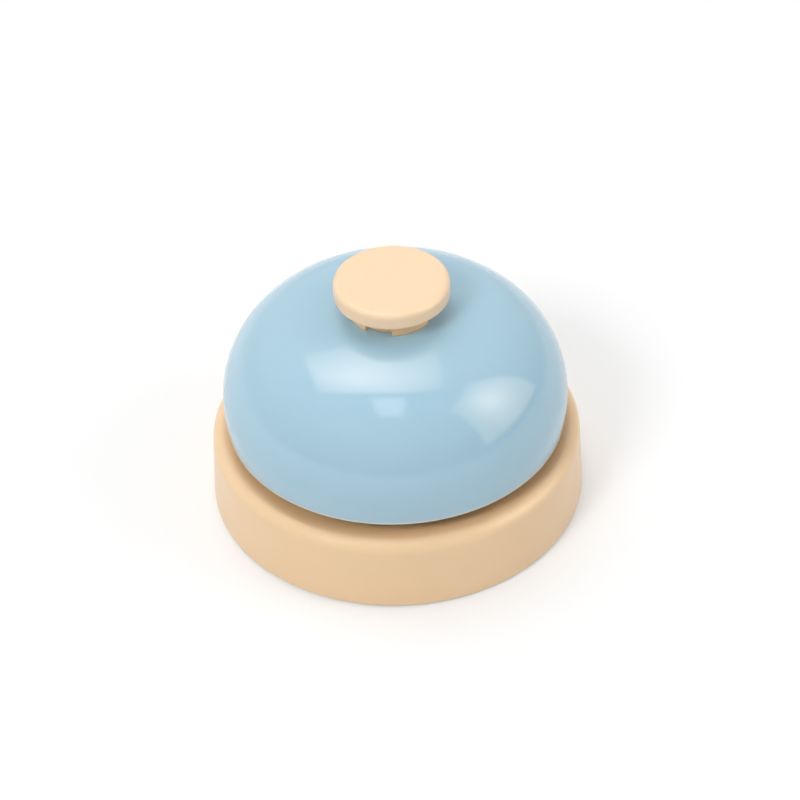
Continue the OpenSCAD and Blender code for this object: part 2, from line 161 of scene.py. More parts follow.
def arc(centre: Pair, radius: float, start: float, end: float, outward: bool = True) -> list[Station]:
    """Stations along an arc.

    Args:
        centre: Middle of the arc, as distance from the axis and height.
        radius: Radius of the arc.
        start: First angle in radians, from the outward direction upwards.
        end: Last angle in radians.
        outward: Whether the surface faces away from the middle.

    Returns:
        Stations from start to end.
    """
    steps = max(2, math.ceil(abs(end - start) / ARC_STEP))
    side = 1 if outward else -1
    stations = []
    for step in range(steps + 1):
        angle = start + (end - start) * step / steps
        ray = Vector((math.cos(angle), math.sin(angle)))
        spot = Vector(centre) + ray * radius
        stations.append(Station(spot.x, spot.y, side * ray.x, side * ray.y))
    return stations


def rounded_corner(before: Corner, corner: Corner, after: Corner) -> list[Station]:
    """Stations around one rounded corner of an outline that keeps its inside on the left.

    Args:
        before: The corner that comes before.
        corner: The corner that is rounded.
        after: The corner that comes after.

    Returns:
        Stations along the rounding.
    """
    arrive = (corner.point() - before.point()).normalized()
    leave = (after.point() - corner.point()).normalized()
    turn = math.atan2(arrive.x * leave.y - arrive.y * leave.x, arrive.dot(leave))
    side = math.copysign(1.0, turn)
    start = corner.point() - arrive * corner.fillet * math.tan(abs(turn) / 2)
    middle = start + side * corner.fillet * Vector((-arrive.y, arrive.x))
    steps = max(1, math.ceil(abs(turn) / CORNER_STEP))
    stations = []
    for step in range(steps + 1):
        normal = Matrix.Rotation(turn * step / steps, 2) @ Vector((arrive.y, -arrive.x))
        spot = middle + side * corner.fillet * normal
        stations.append(Station(max(spot.x, 0.0), spot.y, normal.x, normal.y))
    return stations


def outline_of(corners: Sequence[Corner], closed: bool = False) -> list[Station]:
    """Stations of an outline through rounded corners.

    Args:
        corners: Corners in order, with the inside of the piece on the left.
        closed: Whether the last corner leads back to the first.

    Returns:
        Stations of the whole outline.
    """
    if closed:
        corners = [corners[-1], *corners, corners[0]]
    middle = [s for i in range(1, len(corners) - 1) for s in rounded_corner(*corners[i - 1:i + 2])]
    if closed:
        return middle
    first, last = corners[0], corners[-1]
    enter = (corners[1].point() - first.point()).normalized()
    leave = (last.point() - corners[-2].point()).normalized()
    start = Station(first.r, first.z, enter.y, -enter.x)
    end = Station(last.r, last.z, leave.y, -leave.x)
    return [start, *middle, end]


def new_piece(name: str, data: bpy.types.ID) -> Piece:
    """Put a mesh or a curve into the scene as an object at the origin.

    Args:
        name: Name of the piece.
        data: Its mesh or curve.

    Returns:
        The new object.
    """
    piece = bpy.data.objects.new(name, data)
    bpy.context.scene.collection.objects.link(piece)
    return piece


def turned(
    name: str,
    stations: Sequence[Station],
    segments: int,
    closed: bool = False,
    place: Matrix | None = None,
    radius_at: Callable[[Station, float], float] | None = None,
) -> Piece:
    """Turn an outline about the Z axis.

    Args:
        name: Name of the piece.
        stations: The outline, with the inside of the piece on the left.
        segments: Number of steps around.
        closed: Whether the outline is a loop, as on a ring.
        place: Where the turned piece goes, in millimetres.
        radius_at: Radius at a station and an angle, where the piece isn't round.

    Returns:
        The piece, with exact normals where it is round.
    """
    place = place or Matrix.Identity(4)
    turn = place.to_3x3()
    vertices, normals, rows = [], [], []
    for station in stations:
        count = 1 if station.r < ON_AXIS else segments
        rows.append(range(len(vertices), len(vertices) + count))
        for step in range(count):
            angle = math.tau * step / segments
            reach = radius_at(station, angle) if radius_at else station.r
            spin = Matrix.Rotation(angle, 3, "Z")
            vertices.append(place @ (spin @ Vector((reach, 0, station.z))) * MM)
            normals.append(turn @ (spin @ Vector((station.normal_r, 0, station.normal_z))))
    faces = []
    for low, high in zip(rows, rows[1:] + rows[:1] if closed else rows[1:]):
        for step in range(segments):
            after = (step + 1) % segments
            ends = ((low, step), (low, after), (high, after), (high, step))
            faces.append(list(dict.fromkeys(row[k % len(row)] for row, k in ends)))
    mesh = bpy.data.meshes.new(name)
    mesh.from_pydata(vertices, [], faces)
    mesh.shade_smooth()
    if radius_at is None:
        mesh.normals_split_custom_set_from_vertices(normals)
    return new_piece(name, mesh)


def evaluated_mesh(piece: Piece) -> bpy.types.Mesh:
    """Return a plain mesh of a piece as its modifiers or its curve make it."""
    return bpy.data.meshes.new_from_object(piece.evaluated_get(bpy.context.evaluated_depsgraph_get()))


def freeze(piece: Piece) -> Piece:
    """Turn a piece's modifiers into its mesh.

    Args:
        piece: The piece.

    Returns:
        The same piece, with a plain mesh and no modifiers.
    """
    made = evaluated_mesh(piece)
    made.name = piece.name
    piece.modifiers.clear()
    piece.data = made
    return piece


def settle(piece: Piece) -> Piece:
    """Crease a piece's sharp edges and let its large faces rule the shading.

    Args:
        piece: The piece.

    Returns:
        The same piece.
    """
    piece.data.shade_smooth()
    piece.data.set_sharp_from_angle(angle=CREASE)
    piece.modifiers.new("weighted shading", "WEIGHTED_NORMAL").keep_sharp = True
    return freeze(piece)


def work(piece: Piece, cut: Cut, tools: Sequence[Piece]) -> Piece:
    """Join tools to a piece or take them out of it, and throw the tools away.

    Args:
        piece: The piece.
        cut: Whether the tools are joined or removed.
        tools: Closed meshes.

    Returns:
        The same piece.
    """
    for tool in tools:
        change = piece.modifiers.new(tool.name, "BOOLEAN")
        change.operation = cut.value
        change.solver = "EXACT"
        change.object = tool
    freeze(piece)
    for tool in tools:
        bpy.data.objects.remove(tool)
    return piece


def plate(
    name: str, outlines: Sequence[Sequence[Pair]], thickness: float, bevel: float, place: Matrix
) -> Piece:
    """Make a flat plate with softened edges from outlines, of which the later ones are holes.

    Args:
        name: Name of the piece.
        outlines: Loops of points in the plate's plane, in millimetres.
        thickness: Thickness of the plate, half to each side of its plane.
        bevel: Radius of its edges.
        place: Where the plate goes, in millimetres.

    Returns:
        The piece.
    """
    shape = bpy.data.curves.new(name, "CURVE")
    shape.dimensions = "2D"
    shape.fill_mode = "BOTH"
    shape.extrude = thickness / 2 - bevel
    shape.bevel_depth = bevel
    shape.bevel_resolution = BEVEL_STEPS
    shape.offset = -bevel
    for loop in outlines:
        spline = shape.splines.new("POLY")
        spline.points.add(len(loop) - 1)
        spline.use_cyclic_u = True
        for point, (x, y) in zip(spline.points, loop):
            point.co = (x, y, 0, 1)
    drawn = new_piece(name, shape)
    mesh = evaluated_mesh(drawn)
    bpy.data.objects.remove(drawn)
    mesh.transform(Matrix.Scale(MM, 4) @ place)
    shell = bmesh.new()
    shell.from_mesh(mesh)
    bmesh.ops.remove_doubles(shell, verts=shell.verts, dist=bevel * MM * WELD)
    bmesh.ops.recalc_face_normals(shell, faces=shell.faces)
    shell.to_mesh(mesh)
    shell.free()
    return settle(new_piece(name, mesh))


def circle_points(radius: float, start: float, end: float, steps: int) -> list[Pair]:
    """Return the points along a circle about the origin, from one angle in radians to another."""
    angles = [start + (end - start) * step / steps for step in range(steps + 1)]
    return [(radius * math.cos(angle), radius * math.sin(angle)) for angle in angles]


def disc(radius: float, low: float, high: float, low_round: float, high_round: float) -> list[Station]:
    """Return the outline of a solid disc between two heights, with its two roundings."""
    edge = [Corner(radius, low, low_round), Corner(radius, high, high_round)]
    return outline_of([Corner(0.0, low), *edge, Corner(0.0, high)])


def flat_ring(bore: float, rim: float, low: float, high: float, rounds: Sequence[float]) -> list[Station]:
    """Return the closed outline of a flat ring, with roundings from its lower bore around."""
    spots = ((bore, low), (rim, low), (rim, high), (bore, high))
    return outline_of([Corner(*spot, fillet) for spot, fillet in zip(spots, rounds)], closed=True)


def pillar(name: str, radius: float, low: float, high: float, place: Matrix | None = None) -> Piece:
    """Make a plain round tool or boss between two heights along its own Z axis."""
    return turned(name, disc(radius, low, high, FINE_EDGE, FINE_EDGE), segments=48, place=place)


def add_node(tree: Tree, kind: str, inputs: Inputs | None = None, **settings: object) -> Node:
    """Add a node to a tree with its settings, constants and links.

    Args:
        tree: The node tree.
        kind: Blender's name for the node.
        inputs: For each input, a constant, an output to link, or a node whose first output is linked.
        settings: Properties of the node.

    Returns:
        The node.
    """
    node = tree.nodes.new(kind)
    for name, value in settings.items():
        setattr(node, name, value)
    for key, value in (inputs or {}).items():
        source = value.outputs[0] if isinstance(value, Node) else value
        if isinstance(source, Socket):
            tree.links.new(source, node.inputs[key])
        else:
            node.inputs[key].default_value = source
    return node


# Finishes


def to_linear(colour: str) -> tuple[float, float, float, float]:
    """Turn an sRGB hex colour into linear red, green, blue and alpha.

    Args:
        colour: Six hex digits.

    Returns:
        Linear values with full alpha.
    """
    shares = [int(colour[i:i + 2], 16) / 255 for i in (0, 2, 4)]
    linear = [s / 12.92 if s <= 0.04045 else ((s + 0.055) / 1.055) ** 2.4 for s in shares]
    return (*linear, 1.0)


def scale_of(feature: float) -> float:
    """Return the texture scale at which a pattern's features are this many millimetres wide."""
    return 1 / (feature * MM)


@dataclass(frozen=True)
class Tint:
    """A second colour near the axis or the ground, fading out across a band in millimetres: painted shade on
    the deck, a partly painted reflection at the rim.
    """

    colour: str
    band: Pair
    measure: Measure

    def over(self, tree: Tree, tone: Socket, coords: Socket) -> Socket:
        """Mix the second colour over the first.

        Args:
            tree: The material's nodes.
            tone: The first colour.
            coords: Object coordinates.

        Returns:
            The mixed colour.
        """
        axes = {0: coords, 1: self.measure.value}
        kept = add_node(tree, "ShaderNodeVectorMath", axes, operation="MULTIPLY")
        away = add_node(tree, "ShaderNodeVectorMath", {0: kept}, operation="LENGTH").outputs["Value"]
        start, end = self.band
        fade = {"Value": away, FROM_LOW: start * MM, FROM_HIGH: end * MM, TO_LOW: 1.0, TO_HIGH: 0.0}
        share = add_node(tree, "ShaderNodeMapRange", fade, interpolation_type="SMOOTHSTEP")
        tones = {SHARE: share, FIRST: tone, SECOND: to_linear(self.colour)}
        return add_node(tree, "ShaderNodeMix", tones, data_type="RGBA").outputs[MIXED]


@dataclass(frozen=True)
class Finish:
    """A surface finish: one named material with a colour that drifts between two tones.

    What is the same all over the surface is in constants, by the shader's socket. The grain can be
    stretched along Z, as drawing leaves it.
    """

    constants: ClassVar[dict[str, float]] = {}
    name: str
    slot: Slot
    colour: str
    drift: str
    drift_size: float
    roughness: Pair
    grain_size: float
    grain_depth: float
    stretch: float = 1.0
    tint: Tint | None = None

    def material(self) -> bpy.types.Material:
        """Make the material on first use, and find it again later.

        Returns:
            The material.
        """
        found = bpy.data.materials.get(self.name)
        if found:
            return found
        made = bpy.data.materials.new(self.name)
        made.use_nodes = True
        tree = made.node_tree
        shader = tree.nodes["Principled BSDF"]
        self.wire(tree, shader, add_node(tree, "ShaderNodeTexCoord").outputs["Object"])
        for socket, value in self.constants.items():
            shader.inputs[socket].default_value = value
        return made

    def wire(self, tree: Tree, shader: Node, coords: Socket) -> None:
        """Drive colour, roughness and bump from two noises.

        Args:
            tree: The material's nodes.
            shader: Its principled shader.
            coords: Object coordinates.
        """
        slow = {"Vector": coords, "Scale": scale_of(self.drift_size), "Detail": CLOUD_DETAIL}
        cloud = add_node(tree, "ShaderNodeTexNoise", slow).outputs["Fac"]
        tones = {SHARE: cloud, FIRST: to_linear(self.colour), SECOND: to_linear(self.drift)}
        tone = add_node(tree, "ShaderNodeMix", tones, data_type="RGBA").outputs[MIXED]
        if self.tint:
            tone = self.tint.over(tree, tone, coords)
        smooth, rough = self.roughness
        span = {FROM_LOW: NOISE_LOW, FROM_HIGH: NOISE_HIGH, TO_LOW: smooth, TO_HIGH: rough}
        gloss = add_node(tree, "ShaderNodeMapRange", {"Value": cloud, **span}).outputs[0]
        marks = {"Vector": coords, "Scale": (1.0, 1.0, 1 / self.stretch)}
        drawn = add_node(tree, "ShaderNodeMapping", marks)
        fine = {"Vector": drawn, "Scale": scale_of(self.grain_size), "Detail": GRAIN_DETAIL}
        grain = add_node(tree, "ShaderNodeTexNoise", fine).outputs["Fac"]
        relief = {"Height": grain, "Strength": 1.0, "Distance": self.grain_depth * MM}
        bump = add_node(tree, "ShaderNodeBump", relief).outputs[0]
        driven = {"Base Color": tone, "Roughness": gloss, "Normal": bump, "Coat Normal": bump}
        for socket, output in driven.items():
            tree.links.new(output, shader.inputs[socket])


@dataclass(frozen=True)
class MouldedPlastic(Finish):
    """Injection-moulded ABS: an even satin skin with the mould's fine spark-eroded grain."""

    constants: ClassVar[dict[str, float]] = {"IOR": 1.53}


@dataclass(frozen=True)
class BakedEnamel(Finish):
    """Baked enamel on steel: flat colour, without a shine of its own, under a clear glossy skin."""

    constants: ClassVar[dict[str, float]] = {
        "Specular IOR Level": 0.0,
        "Coat Weight": 1.0,
        "Coat Roughness": 0.055,
        "Coat IOR": 1.65,
    }


@dataclass(frozen=True)
class PlatedSteel(Finish):
    """Steel with a thin zinc or oil-blued skin: metal whose gloss is broken by fine drawing marks."""

    constants: ClassVar[dict[str, float]] = {"Metallic": 1.0}


@dataclass(frozen=True)
class MouldedRubber(Finish):
    """Moulded rubber: a dull, slightly dusty skin with a coarse grain and little shine."""

    constants: ClassVar[dict[str, float]] = {"Specular IOR Level": 0.3}


# ABS in the cream of the base: satin and faintly cloudy, with painted shade on the deck under the bell: a
# deeper, warmer cream that fades out towards the edge
SHELL_ABS = MouldedPlastic(
    "cream_abs_shell", Slot.SHELL, "F4D2A8", "F0CEA4", 9.0, (0.285, 0.33), 0.35, 0.004,
    tint=Tint("E9BE8D", (30.5, 33.2), Measure.FROM_AXIS),
)
# The same ABS in a deeper, warmer cream on the collar, which is painted warm shade under the button, and in
# the button's paler batch
COLLAR_SHADED_ABS = MouldedPlastic(
    "cream_abs_collar_painted_shade", Slot.SHELL, "F7CE9D", "F3CA99", 5.0, (0.3, 0.36), 0.35, 0.004
)
BUTTON_ABS = MouldedPlastic(
    "cream_abs_button", Slot.BUTTON, "F5D7B3", "F1D3AF", 7.0, (0.285, 0.33), 0.3, 0.003
)
# ABS of the hidden mouldings, left matt by the mould
INNER_ABS = MouldedPlastic(
    "cream_abs_matt", Slot.INNER, "EBCBA4", "E4C297", 5.0, (0.52, 0.62), 0.4, 0.012
)
# Natural rubber of the feet, and black rubber of the cushions
FOOT_RUBBER = MouldedRubber(
    "grey_moulded_rubber", Slot.FOOT, "C9C5BC", "BDB8AE", 2.0, (0.6, 0.75), 0.25, 0.02
)
PAD_RUBBER = MouldedRubber(
    "black_moulded_rubber", Slot.PAD, "26272A", "303134", 1.5, (0.65, 0.8), 0.2, 0.02
)
# Bright zinc on drawn and stamped steel, and darker spring steel
ZINC = PlatedSteel(
    "zinc_plated_steel", Slot.STEEL, "C3C7CB", "B4B9BF", 1.2, (0.28, 0.38), 0.08, 0.003, stretch=8.0
)
SPRING_STEEL = PlatedSteel(
    "oiled_spring_steel", Slot.SPRING, "9A9DA2", "8A8C92", 0.8, (0.28, 0.36), 0.06, 0.003, stretch=3.0
)


# Places and joints of the frame


def box_of(node: str) -> tuple[Vector, Vector]:
    """Return a CAD node's lowest and highest corners in millimetres."""
    low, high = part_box(node)
    return low / MM, high / MM


def centre_of(node: str) -> Vector:
    """Return the middle of a CAD node's box on the frame's front-to-back plane, in millimetres."""
    low, high = box_of(node)
    return Vector(((low.x + high.x) / 2, 0, (low.z + high.z) / 2))


def finish_piece(piece: Piece, finish: Finish, body: Body, node: str) -> None:
    """Give a piece its material and body, and hide the CAD node that it stands for.

    Args:
        piece: The finished piece.
        finish: Its surface finish.
        body: The body that it rides on.
        node: The CAD node that it replaces.
    """
    piece.data.materials.clear()
    piece.data.materials.append(finish.material())
    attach(piece, body.value)
    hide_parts(node)
    LOG.info("%s on %s, %d faces", piece.name, body.value, len(piece.data.polygons))


# Geometry Nodes


def start_group(name: str, inputs: dict[str, str]) -> tuple[Tree, Node]:
    """Start a group that gives geometry, with named inputs and one for its material.

    Args:
        name: Name of the group.
        inputs: For each input, the end of Blender's name for its type of socket.

    Returns:
        The group, and the node that hands out its inputs.
    """
    tree = bpy.data.node_groups.new(name, "GeometryNodeTree")
    for label, kind in {**inputs, "Material": "Material"}.items():
        tree.interface.new_socket(name=label, in_out="INPUT", socket_type=f"NodeSocket{kind}")
    tree.interface.new_socket(name="Geometry", in_out="OUTPUT", socket_type="NodeSocketGeometry")
    return tree, add_node(tree, "NodeGroupInput")


def end_group(tree: Tree, geometry: Node, material: Socket) -> None:
    """End a group in real geometry with its material on it.

    Args:
        tree: The group.
        geometry: The node that gives what the group has made.
        material: The group's material input.
    """
    real = add_node(tree, "GeometryNodeRealizeInstances", {"Geometry": geometry})
    coat = {"Geometry": real, "Material": material}
    coated = add_node(tree, "GeometryNodeSetMaterial", coat)
    add_node(tree, "NodeGroupOutput", {"Geometry": coated})


def apply_group(piece: Piece, tree: Tree, values: dict[str, object]) -> None:
    """Run a node group on a piece and keep the result as its mesh.

    Args:
        piece: The piece.
        tree: The node group.
        values: Value of each input, by the input's name.
    """
    modifier = piece.modifiers.new(tree.name, "NODES")
    modifier.node_group = tree
    for item in tree.interface.items_tree:
        if item.in_out == "INPUT" and item.name in values:
            modifier[item.identifier] = values[item.name]
    freeze(piece)


def ring_of_copies() -> Tree:
    """Make the node group that sets copies of a piece evenly around the Z axis.

    Returns:
        The group, with inputs Count, Ring radius, First angle and Material.
    """
    inputs = {"Geometry": "Geometry", "Count": "Int", "Ring radius": "Float", "First angle": "Float"}
    tree, entry = start_group("ring_of_copies", inputs)
    given = entry.outputs
    step = add_node(tree, "ShaderNodeMath", {0: math.tau, 1: given["Count"]}, operation="DIVIDE")
    index = add_node(tree, "GeometryNodeInputIndex")
    sum_up = {0: index, 1: step, 2: given["First angle"]}
    angle = add_node(tree, "ShaderNodeMath", sum_up, operation="MULTIPLY_ADD")
    turn = add_node(tree, "ShaderNodeCombineXYZ", {"Z": angle})
    start = add_node(tree, "ShaderNodeCombineXYZ", {"Z": given["First angle"]})
    size = {"Vertices": given["Count"], "Radius": given["Ring radius"]}
    circle = add_node(tree, "GeometryNodeMeshCircle", size)
    first = {"Geometry": circle, "Rotation": start}
    placed = add_node(tree, "GeometryNodeTransform", first)
    copy = {"Points": placed, "Instance": given["Geometry"], "Rotation": turn}
    copies = add_node(tree, "GeometryNodeInstanceOnPoints", copy)
    end_group(tree, copies, given["Material"])
    return tree


def coil_spring() -> Tree:
    """Make the node group for a compression spring whose end turns lie closed.

    Returns:
        The group, with inputs Coil radius, Wire radius, Turns, Low, High and Material.
    """
    inputs = dict.fromkeys(("Coil radius", "Wire radius", "Turns", "Low", "High"), "Float")
    tree, entry = start_group("coil_spring", inputs)
    given = entry.outputs
    size = {"Start Radius": given["Coil radius"], "End Radius": given["Coil radius"], "Height": 0.0}
    turns = {"Resolution": COIL_STEPS, "Rotations": given["Turns"]}
    spiral = add_node(tree, "GeometryNodeCurveSpiral", {**turns, **size})
    along = add_node(tree, "GeometryNodeSplineParameter").outputs["Factor"]
    span = {FROM_LOW: 0.0, FROM_HIGH: 1.0, TO_LOW: given["Low"], TO_HIGH: given["High"]}
    rise = add_node(tree, "ShaderNodeMapRange", {"Value": along, **span}, interpolation_type="SMOOTHSTEP")
    lift = add_node(tree, "ShaderNodeCombineXYZ", {"Z": rise})
    move = {"Geometry": spiral, "Offset": lift}
    raised = add_node(tree, "GeometryNodeSetPosition", move)
    thick = {"Resolution": WIRE_SIDES, "Radius": given["Wire radius"]}
    section = add_node(tree, "GeometryNodeCurvePrimitiveCircle", thick)
    sweep = {"Curve": raised, "Profile Curve": section, "Fill Caps": True}
    wire = add_node(tree, "GeometryNodeCurveToMesh", sweep)
    smooth = add_node(tree, "GeometryNodeSetShadeSmooth", {"Geometry": wire})
    end_group(tree, smooth, given["Material"])
    return tree


@dataclass(frozen=True)
class Ring:
    """Places on a circle around the Z axis, of which the first lies at an angle in degrees."""

    radius: float
    first: float
    count: int

    def places(self) -> list[Matrix]:
        """Return one place for each of them."""
        turns = [math.radians(self.first + 360 * k / self.count) for k in range(self.count)]
        return [Matrix.Translation((self.radius * math.cos(t), self.radius * math.sin(t), 0)) for t in turns]

    def fill(self, piece: Piece, finish: Finish) -> None:
        """Set a copy of a piece on every place.

        Args:
            piece: One piece on the Z axis, which becomes all of them.
            finish: Its surface finish.
        """
        copies = bpy.data.node_groups.get("ring_of_copies") or ring_of_copies()
        values = {
            "Count": self.count,
            "Ring radius": self.radius * MM,
            "First angle": math.radians(self.first),
            "Material": finish.material(),
        }
        apply_group(piece, copies, values)


# Screws that hold the post, which the deck and the post's flange share
POST_SCREWS = Ring(8.5, 60.0, 3)


# Fasteners


@dataclass(frozen=True)
class RetainingRing:
    """A sprung ring, open on one side, in a groove of a rod or a pin."""

    mouth: float = 0.9
    edge: float = 0.12
    groove: float = 0.35
    play: float = 0.1
    fit: float = 0.03

    def groove_corners(self, radius: float, low: float, high: float) -> list[Corner]:
        """Return the groove's corners in the outline of a rod, for a ring between two heights.

        Args:
            radius: Radius of the rod.
            low: Height of the ring's lower face.
            high: Height of its upper face.

        Returns:
            Corners from the lower edge to the upper one.
        """
        inner = radius - self.groove
        bottom = low - self.play / 2
        top = high + self.play / 2
        spots = ((radius, bottom), (inner, bottom), (inner, top), (radius, top))
        return [Corner(r, z, FINE_EDGE) for r, z in spots]

    def ring(self, name: str, radius: float, rim: float, thickness: float, place: Matrix) -> Piece:
        """Make the ring, open on its +X side.

        Args:
            name: Name of the piece.
            radius: Radius of the rod that it sits on.
            rim: Radius of its outside.
            thickness: Thickness of the ring, half to each side of its plane.
            place: Where the ring goes, in millimetres.

        Returns:
            The piece.
        """
        bore = radius - self.groove + self.fit
        half = bore * self.mouth
        wide, narrow = math.asin(half / rim), math.asin(half / bore)
        loop = circle_points(rim, wide, math.tau - wide, steps=48)
        loop += circle_points(bore, math.tau - narrow, narrow, steps=36)
        return plate(name, [loop], thickness, self.edge, place)


# The rings on the plunger and on the hammer's pin are of one kind
CLIP = RetainingRing()


@dataclass(frozen=True)
class Screw:
    """A small thread-forming screw that stands on its tip along the Z axis."""

    thread_r: float = 1.2
    root_r: float = 0.92
    tip_r: float = 0.414
    pitch: float = 0.9
    flank: float = 3.0
    length: float = 8.0
    point: float = 1.0
    head_r: float = 2.3
    head_h: float = 1.3
    pan_rounds: Pair = (0.12, 0.8)
    flat_land: float = 0.06
    flat_round: float = 0.02
    recess_r: float = 1.3
    recess_w: float = 0.7
    recess_depth: float = 0.8
    recess_over: float = 0.2
    recess_flare: float = 1.06
    recess_taper: float = 0.55
    segments: int = 32
    rows_per_turn: int = 8

    def thread(self, station: Station, angle: float) -> float:
        """Return the radius at a station of the shank and an angle, and the plain radius on the head.

        Args:
            station: A station of the outline.
            angle: Angle about the axis in radians.

        Returns:
            Radius in millimetres.
        """
        if station.r > self.root_r or station.z > -self.pitch:
            return station.r
        phase = (station.z / self.pitch - angle / math.tau) % 1.0
        crest = max(0.0, 1 - abs(phase - 0.5) * self.flank)
        return station.r * (1 + (self.thread_r / self.root_r - 1) * crest)

    def shank(self) -> list[Station]:
        """Lay out the shank.

        Returns:
            Stations from the point up to the head.
        """
        rows = round((self.length - self.point) / self.pitch * self.rows_per_turn)
        low = -self.length + self.point
        tip = [Station(radius, -self.length, 0, -1) for radius in (0.0, self.tip_r)]
        return tip + [Station(self.root_r, low - low * row / rows, 1, 0) for row in range(rows)]

    def recess(self, top: float) -> Piece:
        """Make the tool for the cross recess.

        Args:
            top: Height of the head's top.

        Returns:
            A closed cross that narrows downwards.
        """
        half = self.recess_w / 2
        reach = self.recess_r
        wing = [(reach, -half), (reach, half), (half, half)]
        cross = [Matrix.Rotation(math.radians(90) * k, 2) @ Vector(p) for k in range(4) for p in wing]
        rows = [(top + self.recess_over, self.recess_flare), (top - self.recess_depth, self.recess_taper)]
        tool = bmesh.new()
        loops = [[tool.verts.new((p.x * s * MM, p.y * s * MM, z * MM)) for p in cross] for z, s in rows]
        for a in range(len(cross)):
            b = (a + 1) % len(cross)
            tool.faces.new((loops[1][a], loops[1][b], loops[0][b], loops[0][a]))
        tool.faces.new(loops[0])
        tool.faces.new(list(reversed(loops[1])))
        bmesh.ops.recalc_face_normals(tool, faces=tool.faces)
        mesh = bpy.data.meshes.new("recess")
        tool.to_mesh(mesh)
        tool.free()
        return new_piece("recess", mesh)

    def with_head(self, name: str, head: Sequence[Corner]) -> Piece:
        """Make the screw under a head.

        Args:
            name: Name of the piece.
            head: Corners of the head, from the shank to its top on the axis.

        Returns:
            One screw on the Z axis.
        """
        shank = [station for station in self.shank() if station.z < head[0].z]
        screw = turned(name, shank + outline_of(head), self.segments, radius_at=self.thread)
        return settle(work(screw, Cut.REMOVE, [self.recess(head[-1].z)]))

    def pan_head(self, name: str) -> Piece:
        """Make the screw with a domed head that sits at height 0."""
        edge = [Corner(self.head_r, z, fillet) for z, fillet in zip((0.0, self.head_h), self.pan_rounds)]
        return self.with_head(name, [Corner(self.root_r, 0.0), *edge, Corner(0.0, self.head_h)])

    def flat_head(self, name: str) -> Piece:
        """Make the screw with a countersunk head whose top is at height 0.

        Args:
            name: Name of the piece.

        Returns:
            One screw on the Z axis.
        """
        edge = [Corner(self.head_r, -self.flat_land, FINE_EDGE), Corner(self.head_r, 0.0, self.flat_round)]
        neck = Corner(self.root_r, -self.head_h - self.thread_r + self.root_r)
        return self.with_head(name, [neck, *edge, Corner(0.0, 0.0)])


# Sub-assemblies


